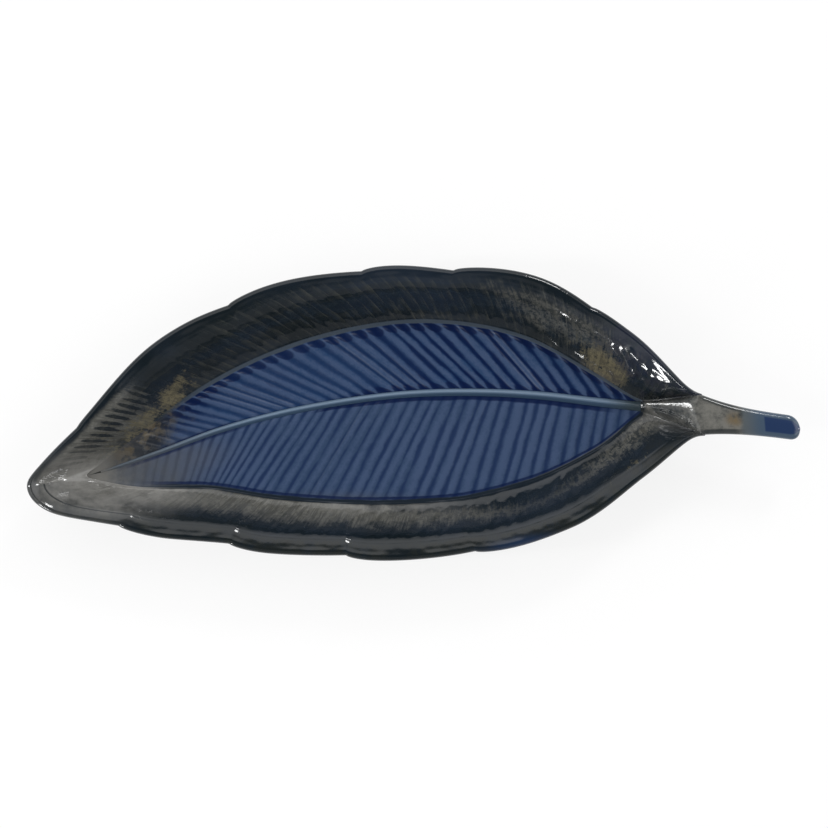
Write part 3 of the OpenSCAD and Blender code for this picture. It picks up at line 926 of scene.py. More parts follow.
@dataclass(frozen=True)
class StemHandle:
    """The ridge that climbs the end wall, and the stem beyond it."""

    form: LeafForm
    stem_l: float
    stem_w: float = 11.5 * MM
    stem_t: float = 9 * MM
    bevel: float = 2.4 * MM
    crown: float = 0.35 * MM
    crease: float = 0.7 * MM
    ridge_lean: float = 0.6
    crest_flat: float = 1.5
    ramp_share: float = 0.6
    crease_at: float = 0.02
    crease_w: float = 0.035
    drop_h: float = 0.4 * MM
    drops: tuple[tuple[float, float, float, float], ...] = (
        (-0.2, 0.2, 0.04, 0.03), (-0.55, 0.12, 0.75, 0.035),
    )
    wall_factor: float = 1.12
    end_thinning: float = 0.35
    side_power: float = 0.75
    belly_power: float = 0.7
    flare_power: float = 3.0
    end_power: float = 2.4
    climb_power: float = 1.05
    flat_share: float = 0.68
    top_columns: int = 57
    low_columns: int = 25
    ridge_rows: int = 60
    turn_rows: int = 8
    stem_rows: int = 110
    crowd_power: float = 1.35

    def rounding(self, s: Array) -> Array:
        """How much of its width and depth the stem keeps toward its rounded end."""
        past = np.maximum(s - 1 + self.stem_w / 2 / self.stem_l, 0) * self.stem_l / (self.stem_w / 2)
        return np.sqrt(np.maximum(1 - past**self.end_power, 0.004))

    def ridge_top(self, v: Array) -> Array:
        """Upper skin of the ridge, from the crease at the midrib up to the lips."""
        form = self.form
        q = np.linspace(0, 1, self.ridge_rows)[:, None]
        far, near = (form.wall_top(side, np.ones_like(q), q)[:, 0] for side in Side)
        u = np.clip(v / self.flat_share, -1, 1)[None, :]
        points = near[:, None, :] + (far - near)[:, None, :] * ((u + 1) / 2)[..., None]
        climb = mix(np.sin(np.pi / 2 * q**self.climb_power), q, self.ramp_share * ease((1 - q) / 0.35))
        crest = mix(form.floor_z + form.midrib_h, form.rim_end + self.crown, climb)
        crest = crest - self.crease * bell(q - self.crease_at, self.crease_w)
        middle = (far[:, 2:3] + near[:, 2:3]) / 2
        peak = self.ridge_lean * ease((q + 0.1) / 0.2) * ease((1 - q) / 0.2)
        off = (u - peak) / np.where(u > peak, 1 - peak, 1 + peak)
        bump = np.cos(np.pi / 2 * np.abs(off) ** self.crest_flat) ** mix(1.5, 0.6, ease(q))
        drops = sum(bell(u - across, wide) * bell(q - up, tall) for across, wide, up, tall in self.drops)
        points[..., 2] += (crest - middle) * bump + self.drop_h * drops
        return points

    def turn_top(self, v: Array) -> Array:
        """Upper skin over the ends of the two lips, where the stem's rounded edges begin."""
        form = self.form
        angle = np.radians(np.linspace(90, 0, self.turn_rows + 1)[1:])[:, None]
        far, near = (form.lip_round(side, np.ones_like(angle), angle)[:, 0] for side in Side)
        (x, y, _), (skew, half, _) = ((far + near) / 2).T, ((far - near) / 2).T
        drop = form.lip_r * (1 - np.sin(angle[:, 0]))
        inset = form.lip_r * np.cos(angle[:, 0])
        return self._section(v, x, y, half, form.rim_end + 0 * half, drop, inset, self.crown + 0 * half, skew)

    def stem_top(self, v: Array, s: Array) -> Array:
        """Upper skin of the stem, flat with a bevel along each edge."""
        form = self.form
        x = form.blade_l + self.stem_l * s
        left = self.rounding(s)
        half = mix(self.stem_w, form.stem_root_w, (1 - s) ** self.flare_power) / 2 * left
        shoulder = mix(form.lip_r, self.bevel, ease(s * 3))
        drop = shoulder * mix(1.0, 0.75, ease((s - 0.8) / 0.2))
        inset = np.minimum(shoulder, half * 0.62)
        top = form.rim_end + form.stem_lift * s - self.bevel * (1 - left) * 0.8
        return self._section(v, x, form.axis_y(x), half, top, drop, inset, self.crown * left, 0 * s)

    def _section(self, v: Array, *rows: Array) -> Array:
        """Rows of a section with a flat top and rounded shoulders.

        Args:
            v: Columns, from -1 on the near side to 1 on the far side.
            rows: For each row the x and y of its middle, half of its width, the height of its flat, the
                depth and width of its shoulders, the rise of its middle, and the step along the leaf
                from its middle to its far edge.

        Returns:
            Points, one row for each section.
        """
        x, y, half, top, drop, inset, crown, skew = (row[:, None] for row in rows)
        v = v[None, :]
        flat = np.clip(v / self.flat_share, -1, 1)
        turn = np.clip((np.abs(v) - self.flat_share) / (1 - self.flat_share), 0, 1) * np.pi / 2
        across = flat * (half - inset) + np.sign(v) * inset * np.sin(turn)
        z = top + crown * (1 - flat * flat) - drop * (1 - np.cos(turn))
        return stacked(x + skew * across / half, y + across, z)

    def low_side(self, top: Array, turned: Array, ending: Array) -> Array:
        """Underside of every row, from its far edge round to its near edge.

        Args:
            top: Upper skin, one row for each section.
            turned: How far each row has turned from wall to stem, from 0 to 1.
            ending: How far each row is rounded at the stem's end.

        Returns:
            Points, one row for each section.
        """
        far, near = top[:, -1], top[:, 0]
        theta = np.linspace(0, np.pi, self.low_columns + 2)[1:-1][None, :]
        middle, half = (far + near) / 2, (far - near) / 2
        across = np.sign(np.cos(theta)) * np.abs(np.cos(theta)) ** self.side_power
        points = middle[:, None, :] + half[:, None, :] * across[..., None]
        bottom = top[:, top.shape[1] // 2, 2] - self.stem_t * (1 - self.end_thinning * ending)
        wall = self.form.lip_t * self.wall_factor
        belly = mix(middle[:, 2] - wall, bottom, turned)
        edge = mix(far[:, 2] - wall, far[:, 2], turned)
        points[..., 2] = edge[:, None] - (edge - belly)[:, None] * np.sin(theta) ** self.belly_power
        return points

    def make(self) -> Skin:
        """Make the ridge and the stem in one piece."""
        v = np.linspace(-1, 1, self.top_columns)
        s = (1 - (1 - np.linspace(0, 1, self.stem_rows)) ** self.crowd_power)[1:]
        before = self.ridge_rows + self.turn_rows
        top = np.concatenate([self.ridge_top(v), self.turn_top(v), self.stem_top(v, s)], axis=0)
        turned = np.concatenate([np.linspace(0, 1, self.ridge_rows) ** 2, np.ones(self.turn_rows + len(s))])
        ending = np.concatenate([np.zeros(before), 1 - self.rounding(s)])
        place = np.concatenate([np.linspace(-1, 0, before), s])[:, None]
        low = self.low_side(top, turned, ending)
        sheets = [
            (top, {"stem": place, "across": v[None, :], "under": 0 * place}),
            (low, {"stem": place, "across": 0 * place, "under": 1 + 0 * place}),
        ]
        return Skin("stem_glazed", sheets, open_seams=(0, 1), open_from=self.ridge_rows)


@dataclass(frozen=True)
class FootRing:
    """The ring under the floor that the plate stands on."""

    form: LeafForm
    foot_w: float = 5 * MM
    foot_inset: float = 4 * MM
    tip_factor: float = 2.5
    rows: int = 260
    profile: tuple[tuple[float, float], ...] = (
        (0.0, 1.0), (0.02, 0.5), (0.04, 0.22), (0.08, 0.09), (0.16, 0.02), (0.26, 0.0),
        (0.74, 0.0), (0.84, 0.02), (0.92, 0.09), (0.96, 0.22), (0.98, 0.5), (1.0, 1.0),
    )

    def outline(self, inset: float) -> Array:
        """Plan of the ring, drawn in from the floor's edge by an inset."""
        form = self.form
        t = form.stations(self.rows)
        (fx, fy), (_, ny) = (form.floor_edge(side, t) for side in Side)
        half = sum(half.width for half in HALVES.values()) / 2 - form.side_slope_w
        shorten = 1 - self.tip_factor * inset / (form.well_l / 2)
        x = mix(form.tip_slope_l + form.well_l / 2, fx, shorten)
        far, near = (mix((fy + ny) / 2, y, 1 - inset / half) for y in (fy, ny))
        return np.stack([np.concatenate([x, x[-2::-1]]), np.concatenate([far, near[-2::-1]])], axis=-1)

    def make(self) -> Skin:
        """Make the ring with softened lower edges."""
        levels = np.array([level for _, level in self.profile])
        plans = [self.outline(self.foot_inset + self.foot_w * share) for share, _ in self.profile]
        rings = [np.column_stack([plan, np.full(len(plan), self.form.foot_h * level)])
                 for plan, level in zip(plans, levels)]
        return Skin("foot_ring_clay", [(np.stack(rings, axis=1), {"level": levels[None, :]})], wrap=True)


Feed = Union["Wire", float, tuple]


class Wire:
    """One socket of a finish, so that sums and products of sockets read as plain maths."""

    def __init__(self, bench: "Bench", socket: bpy.types.NodeSocket) -> None:
        """Keep the socket and the bench that it belongs to."""
        self.bench = bench
        self.socket = socket

    def __add__(self, other: Feed) -> "Wire":
        """Sum."""
        return self.bench.math("ADD", self, other)

    __radd__ = __add__

    def __sub__(self, other: Feed) -> "Wire":
        """Difference."""
        return self.bench.math("SUBTRACT", self, other)

    def __rsub__(self, other: Feed) -> "Wire":
        """Difference from a number."""
        return self.bench.math("SUBTRACT", other, self)

    def __mul__(self, other: Feed) -> "Wire":
        """Product."""
        return self.bench.math("MULTIPLY", self, other)

    __rmul__ = __mul__

    def __abs__(self) -> "Wire":
        """Size without sign."""
        return self.bench.math("ABSOLUTE", self)

    def sway(self, gain: float) -> "Wire":
        """Swing round zero that a cloudy value gives."""
        return (self - 0.5) * gain


class Bench:
    """Lays out the nodes of one finish or of the room's light."""

    def __init__(self, tree: bpy.types.NodeTree) -> None:
        """Start with an empty tree."""
        self.tree = tree
        self.tree.nodes.clear()

    def add(self, kind: str, settings: dict | None = None, values: dict | None = None) -> bpy.types.Node:
        """Add a node.

        Args:
            kind: Type of the node.
            settings: Its settings, set first.
            values: Numbers, colours or wires for its sockets.

        Returns:
            The node.
        """
        made = self.tree.nodes.new(kind)
        for key, value in (settings or {}).items():
            setattr(made, key, value)
        for key, value in (values or {}).items():
            self.feed(made.inputs[key], value)
        return made

    def node(self, kind: str, settings: dict | None = None, values: dict | None = None,
             out: int | str = 0) -> Wire:
        """Add a node and return one of its outputs."""
        return Wire(self, self.add(kind, settings, values).outputs[out])

    def feed(self, socket: bpy.types.NodeSocket, value: Feed) -> None:
        """Link a wire to a socket, or set its value."""
        if isinstance(value, Wire):
            self.tree.links.new(value.socket, socket)
        elif isinstance(value, tuple) and socket.type == "RGBA":
            socket.default_value = (*value, 1.0)
        else:
            socket.default_value = value

    def math(self, operation: str, *numbers: Feed) -> Wire:
        """Work out one sum, product or the like."""
        return self.node("ShaderNodeMath", {"operation": operation}, dict(enumerate(numbers)))

    def vector(self, x: Feed, y: Feed, z: Feed = 0.0) -> Wire:
        """Join three numbers into a vector."""
        return self.node("ShaderNodeCombineXYZ", values={0: x, 1: y, 2: z})

    def part(self, vector: Wire, axis: int) -> Wire:
        """One coordinate of a vector."""
        return self.node("ShaderNodeSeparateXYZ", values={0: vector}, out=axis)

    def noise(self, where: Wire, scale: float, detail: float, rough: float, bend: float = 0.0) -> Wire:
        """Cloudy values from 0 to 1."""
        values = {"Vector": where, "Scale": scale, "Detail": detail, "Roughness": rough, "Distortion": bend}
        return self.node("ShaderNodeTexNoise", values=values)

    def step(self, value: Feed, low: float, high: float) -> Wire:
        """Smooth change from 0 to 1 between two values."""
        values = {"Value": value, "From Min": low, "From Max": high}
        return self.node("ShaderNodeMapRange", {"interpolation_type": "SMOOTHSTEP"}, values)

    def fall(self, value: Feed, low: float, high: float) -> Wire:
        """Smooth change from 1 to 0 between two values."""
        return 1 - self.step(value, low, high)

    def cone(self, value: Wire, inner: float, outer: float) -> Wire:
        """Smooth change from 1 to 0 between two angles from an axis, in degrees."""
        return self.step(value, math.cos(math.radians(outer)), math.cos(math.radians(inner)))

    def band(self, value: Feed, low: float, high: float, soft: float) -> Wire:
        """1 between two values, with soft sides."""
        return self.step(value, low - soft, low) * self.fall(value, high, high + soft)

    def oval(self, across: Wire, along: Wire) -> Wire:
        """1 inside a soft oval whose half axes are both 1."""
        return self.fall(across * across + along * along, 0.55, 1.1)

    def blend(self, first: Feed, second: Feed, share: Feed) -> Wire:
        """Mix two colours."""
        return self.node("ShaderNodeMix", {"data_type": "RGBA"}, {0: share, 6: first, 7: second}, out=2)


class Finish(Bench):
    """Builds one procedural material, laid colour over colour."""

    def __init__(self, name: str, base: Colour) -> None:
        """Start a material.

        Args:
            name: Name of the material.
            base: Colour under all the others.
        """
        self.material = bpy.data.materials.new(name)
        self.material.use_nodes = True
        super().__init__(self.material.node_tree)
        self.colour: Feed = base
        self.place = self.node("ShaderNodeTexCoord", out="Object")

    def marks(self, *names: str) -> list[Wire]:
        """Values that a piece carries at each point."""
        return [self.node("ShaderNodeAttribute", {"attribute_name": name}, out="Fac") for name in names]

    def clouds(self, *kinds: tuple[float, float, float]) -> list[Wire]:
        """Cloudy values over the object, each from its scale, detail and roughness."""
        return [self.noise(self.place, *kind) for kind in kinds]

    def lay(self, colour: Feed, share: Feed) -> None:
        """Lay a colour over what is there, as strong as a share."""
        self.colour = self.blend(self.colour, colour, share)

    def coat(self, roughness: Feed, relief: Wire | None = None, depth: float = 0.0) -> Wire:
        """Add the shader.

        Args:
            roughness: Roughness.
            relief: Height of small relief, where the finish has any.
            depth: Depth of the relief in metres.

        Returns:
            The shader's output.
        """
        values = {"Base Color": self.colour, "Roughness": roughness}
        if relief is not None:
            values["Normal"] = self.node("ShaderNodeBump", values={
                "Height": relief, "Distance": depth, "Strength": 1.0})
        return self.node("ShaderNodeBsdfPrincipled", values=values)

    def fire(self, shader: Wire) -> bpy.types.Material:
        """Give the material its shader and return it."""
        self.add("ShaderNodeOutputMaterial", values={"Surface": shader})
        return self.material


@dataclass(frozen=True)
class FloorGlaze:
    """Blue glaze of the floor, milky over the ribs and navy where it pools in the grooves, with painted
    sheen, highlight, shade and reflection in its colour.
    """

    navy: Colour = (0.0025, 0.009, 0.046)
    # Groove colours: pooled glaze with painted shade
    far_groove: Colour = (0.003, 0.013, 0.057)
    near_groove: Colour = (0.009, 0.022, 0.072)
    far_blue: Colour = (0.018, 0.046, 0.114)
    near_blue: Colour = (0.031, 0.056, 0.114)
    # Milk: milky glaze with painted sheen
    milk_and_sheen: Colour = (0.057, 0.087, 0.167)
    # Bead: painted highlight on the midrib's crown; bead side: painted shade on its flanks
    bead: Colour = (0.135, 0.195, 0.275)
    bead_side_shade: Colour = (0.040, 0.075, 0.130)
    bead_end: Colour = (0.040, 0.058, 0.064)
    # Ledge: painted highlight line along the floor's edge; the colour below it: painted shade there
    ledge: Colour = (0.050, 0.066, 0.088)
    ledge_shade: Colour = (0.010, 0.016, 0.024)
    dusk: Colour = (0.085, 0.092, 0.100)
    far_end: Colour = (0.020, 0.024, 0.032)
    # Near end: painted grey reflection toward the tip
    near_end: Colour = (0.150, 0.150, 0.142)
    gold: Colour = (0.170, 0.130, 0.068)
    # Point: painted pale reflection at the tip
    point: Colour = (0.205, 0.200, 0.186)
    root_fade: tuple[float, float] = (0.088, 0.106)
    tip_fade: tuple[float, float] = (-0.150, -0.118)
    point_fade: tuple[float, float] = (-0.151, -0.136)
    thin_fade: tuple[float, float] = (-0.140, -0.070)
    line_span: tuple[float, float, float] = (-0.132, -0.088, 0.02)
    roughness: float = 0.1

    def make(self) -> bpy.types.Material:
        """Build the material."""
        kiln = Finish("floor_glaze_blue", self.near_blue)
        lay, step, fall = kiln.lay, kiln.step, kiln.fall
        vein, side, edge, spine, deep = kiln.marks("vein", "side", "edge_mm", "spine_mm", "navy")
        lost, pale, ochre = kiln.marks("lost", "pale", "ochre")
        cloud, blot, mottle = kiln.clouds((26, 3, 0.55), (75, 3, 0.6), (150, 4, 0.65))
        fine, grit = kiln.clouds((330, 3, 0.6), (900, 3, 0.7))
        lane = kiln.noise(kiln.vector(vein * 1.1, spine * 0.07), 1.0, 3.0, 0.6)
        far, found, along = step(side, -0.3, 0.3), 1 - lost, kiln.part(kiln.place, 0)
        near = 1 - far

        # Milk with painted sheen over the ribs; blue to navy in the grooves, pooled glaze with painted shade
        off = abs(kiln.math("FRACT", vein + blot.sway(0.3)) - 0.5) * 2.0
        widen = lane.sway(1.1) + blot.sway(0.6) + cloud.sway(0.4)
        groove = step(off + widen - near * 0.14, 0.34, 0.86)
        grain = fine.sway(0.9) + grit.sway(1.2)
        lay(self.far_blue, far)
        lay(self.milk_and_sheen, step(1 - off + cloud.sway(1.4) + grain + lane.sway(0.9), 0.0, 1.1) * 0.75)
        lay(self.near_groove, groove * near * 0.78)
        lay(self.far_groove, groove * far * (0.48 + 0.5 * deep))
        lay(self.navy, step(off + widen, 0.62, 1.05) * far * deep * 0.7)

        # Navy pooling with painted shade at both ends of the far grooves, and a grey painted reflection over
        # the pale patches
        gap = 1 - off
        pool_and_shade = kiln.oval(gap * 1.05, (edge + 3.4 + blot.sway(4.0)) * 0.26) * far
        lay(self.navy, pool_and_shade * (0.75 + 0.2 * deep))
        wedge = kiln.oval(gap * 1.15, (spine + cloud.sway(6.0)) * 0.2) * far * step(deep, 0.1, 0.5)
        lay(self.navy, wedge * 0.85)
        lay(self.dusk, pale * (0.5 + 0.35 * step(cloud, 0.35, 0.65)))

        # Dark lines of painted shade beside the midrib, with pooled glaze in the near gutter, and inside the
        # floor's edge
        gutter_shade = fall(spine + blot.sway(1.5), 1.7, 2.5) * near * step(deep + cloud.sway(0.5), 0.2, 0.4)
        lay(self.navy, gutter_shade * 0.9)
        lay(self.navy, fall(spine, 0.2, 1.1) * far * 0.6)
        lay(self.navy, kiln.band(edge + fine.sway(0.8), -2.5, -1.5, 0.6) * near * found * 0.8)
        # The edge itself: a painted highlight line on the far side, painted shade on the near side
        rim = step(edge + blot.sway(1.4), -1.6, -0.9)
        lay(self.ledge, rim * far * (0.15 + 0.85 * found))
        lay(self.ledge_shade, rim * near * found)
        lay(self.navy, fall(spine, 0.8, 2.2) * kiln.band(along, *self.line_span) * 0.7)

        # Toward the tip the far side turns dark and flecked, and the floor takes a painted grey reflection,
        # most on the near side
        flecks = step(mottle + fine.sway(0.6), 0.46, 0.62)
        gilt = ochre * step(mottle + blot.sway(0.6), 0.46, 0.64)
        dark = kiln.blend(kiln.blend(self.far_end, self.dusk, flecks * 0.5), self.gold, gilt * 0.7)
        lay(dark, step(lost + blot.sway(0.9) + fine.sway(0.5), 0.2, 0.9) * far)
        tipward = fall(along + blot.sway(0.016) + lane.sway(0.02), *self.tip_fade)
        grey = kiln.blend(self.near_end, self.dusk, step(mottle, 0.35, 0.65) * 0.7)
        lay(grey, tipward * (0.6 + near * 0.3))

        # The midrib: painted highlight along its crown and painted shade on its flanks, thin toward the tip
        # and dull at the stem
        crown = step(side, -0.25, 0.3) * fall(side, 0.55, 0.9)
        lay(kiln.blend(self.bead_side_shade, self.bead, crown), fall(spine, -0.95, -0.85))
        lay(self.bead, fall(spine, -1.6, -0.9) * step(side, -0.2, 0.2) * 0.6)
        lay(self.dusk, fall(along, *self.thin_fade) * fall(spine, -0.9, -0.5) * 0.75)
        # Painted pale reflection over the floor at the tip's point
        lay(self.point, fall(along + blot.sway(0.012) + fine.sway(0.004), *self.point_fade) * 0.85)
        root = step(along + blot.sway(0.008), *self.root_fade)
        lay(self.bead_end, root * fall(spine, -0.9, 0.5) * 0.85)
        return kiln.fire(kiln.coat(self.roughness, fine, 0.04 * MM))


@dataclass(frozen=True)
class RimGlaze:
    """Black brown glaze of the wall and lip, which thins to a brown film and breaks to ochre, with painted
    reflection, highlight and shade in its colour.
    """

    ink: Colour = (0.006, 0.010, 0.013)
    slate: Colour = (0.011, 0.017, 0.025)
    # Brown: glaze film with painted reflection
    brown: Colour = (0.112, 0.111, 0.100)
    dark_brown: Colour = (0.040, 0.041, 0.037)
    umber: Colour = (0.040, 0.043, 0.039)
    ochre: Colour = (0.142, 0.123, 0.074)
    # Pale: painted reflection
    pale: Colour = (0.270, 0.265, 0.250)
    # Ledge: painted highlight line; the colour below it: painted shade
    ledge: Colour = (0.050, 0.066, 0.088)
    ledge_shade: Colour = (0.010, 0.016, 0.024)
    navy: Colour = (0.014, 0.034, 0.090)
    smudge: Colour = (0.014, 0.016, 0.030)
    band: Colour = (0.011, 0.014, 0.014)
    stem_side: tuple[float, float] = (-0.01, 0.06)
    smudge_side: tuple[float, float] = (0.08, 0.1)
    tip_side: tuple[float, float] = (-0.150, -0.135)
    roughness: float = 0.09

    def make(self) -> bpy.types.Material:
        """Build the material."""
        kiln = Finish("rim_glaze_black", self.ink)
        lay, step, fall = kiln.lay, kiln.step, kiln.fall
        side, edge, reach, stroke, under = kiln.marks("side", "edge_mm", "reach", "stroke_mm", "under")
        brown, ochre, navy, pale = kiln.marks("brown", "ochre", "navy", "pale")
        calm, bitten, lost = kiln.marks("calm", "teeth", "lost")
        cloud, mottle = kiln.clouds((22, 3, 0.55), (150, 4, 0.65))
        fine, speck = kiln.clouds((420, 3, 0.6), (700, 4, 0.7))
        streak = kiln.noise(kiln.vector(stroke * 0.6, edge * 0.09), 1.0, 5.0, 0.7, 0.5)
        dash = kiln.noise(kiln.vector(stroke * 0.22, edge * 0.05, 4.0), 1.0, 3.0, 0.6, 0.3)
        far, found, along = step(side, -0.5, 0.5), 1 - lost, kiln.part(kiln.place, 0)
        near, stemward = 1 - far, step(along, *self.stem_side)
        rough = step(speck + fine.sway(0.8) + mottle.sway(0.4), 0.44, 0.6)
        wall = fall(reach + mottle.sway(0.6), 1.3, 1.8)
        lay(self.slate, step(cloud, 0.42, 0.7))

        # Thin feathers of umber on the far wall, glaze streaks with a painted glint along one edge of each
        lane = kiln.math("FRACT", stroke * 0.19 + dash.sway(0.9) + mottle.sway(0.2))
        feather_and_glint = lane * lane * step(streak + mottle.sway(0.7), 0.36, 0.66)
        lay(self.umber, feather_and_glint * far * wall * (1 - calm) * 0.85)

        # Brown film low on the wall, rough toward the stem, with darker streaks: glaze colour with painted
        # reflection in it
        shallow = fall(reach + streak.sway(0.5) + mottle.sway(0.5), 0.34, 0.68)
        film_and_sheen = step(brown + streak.sway(1.0) + mottle.sway(1.0), 0.3, 0.85)
        film_and_sheen = film_and_sheen * kiln.math("MAXIMUM", shallow, far * wall)
        film_and_sheen = film_and_sheen * (1 - rough * (0.3 + 0.5 * stemward))
        blurred = reach + mottle.sway(0.5)
        film_and_sheen = film_and_sheen * (1 - far * stemward * fall(blurred, 0.12, 0.45) * 0.85)
        hidden = lost * far * fall(blurred, 0.05, 0.4)
        film_and_sheen = film_and_sheen * (1 - hidden * step(along, *self.tip_side) * 0.8)
        lay(self.brown, film_and_sheen * 0.95)
        lay(self.dark_brown, film_and_sheen * step(streak, 0.46, 0.58) * 0.85)

        # Dark teeth on the slope of the tip, and ochre where the glaze breaks
        beat = kiln.math("FRACT", stroke * 0.21 + dash.sway(0.9)).sway(3.4)
        teeth = kiln.oval(beat + mottle.sway(1.2), (reach - 0.72 + streak.sway(0.4)) * 3.4)
        teeth = teeth * step(bitten, 0.2, 0.5)
        lay(self.ink, teeth * 0.9)
        gold = step(ochre + speck.sway(1.3) + mottle.sway(1.5) + streak.sway(1.3), 0.5, 0.95)
        lay(self.ochre, gold * (1 - teeth) * (1 - rough * 0.45) * 0.9)

        # Smudges beside the stem, the dark near lip and the pale tip, which is painted reflection
        smudges = step(mottle + cloud.sway(0.8), 0.5, 0.62) * far * step(along, *self.smudge_side)
        lay(self.smudge, smudges * 0.5)
        lip = step(cloud + mottle.sway(1.2) + speck.sway(0.5), 0.3, 0.7)
        lay(self.band, lip * step(reach, 1.0, 1.12) * near)
        lay(self.pale, pale * step(mottle * 0.6 + cloud, 0.45, 1.0) * 0.8)

        # The line along the floor: a painted highlight on the far side and painted shade on the near side
        rim = fall(edge + cloud.sway(0.8), 0.7, 1.3)
        lay(self.ledge, rim * far * found)
        lay(self.ledge_shade, rim * near * found)
        # The line under the lip, painted shade in its groove; then the lip's navy and all that lies below
        lay(self.ink, kiln.band(reach, 0.985, 1.015, 0.03) * near * 0.8)
        lay(self.navy, navy * step(reach, 0.9, 1.1) * 0.8)
        lay(self.ink, step(reach, 2.3, 2.5))
        lay(self.ink, under * 0.85)
        return kiln.fire(kiln.coat(self.roughness, fine + mottle, 0.05 * MM))


@dataclass(frozen=True)
class StemGlaze:
    """Glaze of the stem, brown grey at the blade, blue grey along the grip and navy at the end, with painted
    shade in the crease at the midrib and on the bevels.
    """

    root: Colour = (0.160, 0.157, 0.143)
    grip: Colour = (0.085, 0.098, 0.106)
    end: Colour = (0.018, 0.036, 0.092)
    rim: Colour = (0.052, 0.080, 0.120)
    ochre: Colour = (0.145, 0.110, 0.065)
    ink: Colour = (0.012, 0.017, 0.020)
    roughness: float = 0.09

    def make(self) -> bpy.types.Material:
        """Build the material."""
        kiln = Finish("stem_glaze_blue", self.ink)
        lay, step, fall = kiln.lay, kiln.step, kiln.fall
        place, across, under, ochre = kiln.marks("stem", "across", "under", "ochre")
        cloud, mottle = kiln.clouds((60, 3, 0.55), (170, 4, 0.65))
        fine, speck = kiln.clouds((420, 3, 0.6), (700, 4, 0.7))
        flat, ridge = fall(abs(across), 0.6, 0.72), fall(place, -0.3, 0.05)
        cover = mottle + cloud + speck.sway(0.6) - ridge * 0.08
        lay(self.root, step(cover, 0.6, 1.3) * (1 - ridge * 0.1))
        # Painted shade in the crease where the ridge leaves the midrib
        lay(self.ink, fall(place, -0.97, -0.9) * 0.9)
        lay(self.ochre, ochre * step(mottle, 0.35, 0.6))
        lay(self.grip, step(place + cloud.sway(0.1), 0.36, 0.42))
        lay(self.rim, step(place, 0.4, 0.62))
        lay(self.end, step(place, 0.62, 0.64) * flat)
        # Painted shade on the bevels, from the ridge's end partway along the stem
        lay(self.ink, (1 - flat) * fall(place, 0.3, 0.45) * step(place, -0.15, 0.05) * 0.8)
        tail = step(place, 0.3, 0.6)
        lay(self.ink, under * (1 - tail) * 0.8)
        lay(self.end, under * tail * 0.8)
        return kiln.fire(kiln.coat(self.roughness, fine + mottle, 0.05 * MM))


@dataclass(frozen=True)
class BareClay:
    """Unglazed stoneware of the foot, with glaze creeping down its sides."""

    clay: Colour = (0.40, 0.30, 0.20)
    speck: Colour = (0.16, 0.11, 0.07)
    glaze: Colour = (0.012, 0.017, 0.020)
    roughness: float = 0.85

    def make(self) -> bpy.types.Material:
        """Build the material."""
        kiln = Finish("foot_bare_clay", self.clay)
        grain, cloud = kiln.clouds((900, 4, 0.7), (70, 3, 0.5))
        kiln.lay(self.speck, kiln.step(grain, 0.58, 0.72) * 0.7)
        glazed = kiln.step(kiln.marks("level")[0] + cloud.sway(0.25), 0.2, 0.26)
        kiln.lay(self.glaze, glazed)
        return kiln.fire(kiln.coat(self.roughness - glazed * 0.75, grain, 0.08 * MM))


@dataclass(frozen=True)
class UnderGlaze:
    """Glaze of the flat underside, black with brown clouds."""

    ink: Colour = (0.012, 0.017, 0.020)
    brown: Colour = (0.045, 0.040, 0.030)
    roughness: float = 0.14

    def make(self) -> bpy.types.Material:
        """Build the material."""
        kiln = Finish("under_glaze_black", self.ink)
        cloud, fine = kiln.clouds((40, 4, 0.6), (420, 3, 0.6))
        kiln.lay(self.brown, kiln.step(cloud, 0.5, 0.7))
        return kiln.fire(kiln.coat(self.roughness, fine, 0.06 * MM))


def direction(azimuth: float, elevation: float) -> Vector:
    """Return the way toward a place in the room, azimuth 0 along +X and 90 along +Y."""
    turn, rise = math.radians(azimuth), math.radians(elevation)
    return Vector((math.cos(turn) * math.cos(rise), math.sin(turn) * math.cos(rise), math.sin(rise)))


@dataclass(frozen=True)
class Spark:
    """A small bright lamp that leaves a hard highlight on the glaze."""

    name: str
    azimuth: float
    elevation: float
    width: float
    height: float
    radiance: float
    distance: float = 1.7

    def hang(self) -> None:
        """Add the lamp, facing the plate."""
        way = direction(self.azimuth, self.elevation)
        lamp = bpy.data.lights.new(self.name, "AREA")
        lamp.shape = "RECTANGLE"
        lamp.size, lamp.size_y = self.width, self.height
        lamp.energy = self.radiance * math.pi * self.width * self.height
        holder = put(self.name, lamp)
        holder.location = way * self.distance
        holder.rotation_euler = (-way).to_track_quat("-Z", "Y").to_euler()
        holder.visible_camera = False
        LOG.info("lamp %s hung", self.name)


@dataclass(frozen=True)
class Glow:
    """A broad soft source of light on the walls of the room."""

    azimuth: float
    elevation: float
    strength: float
    inner: float
    outer: float


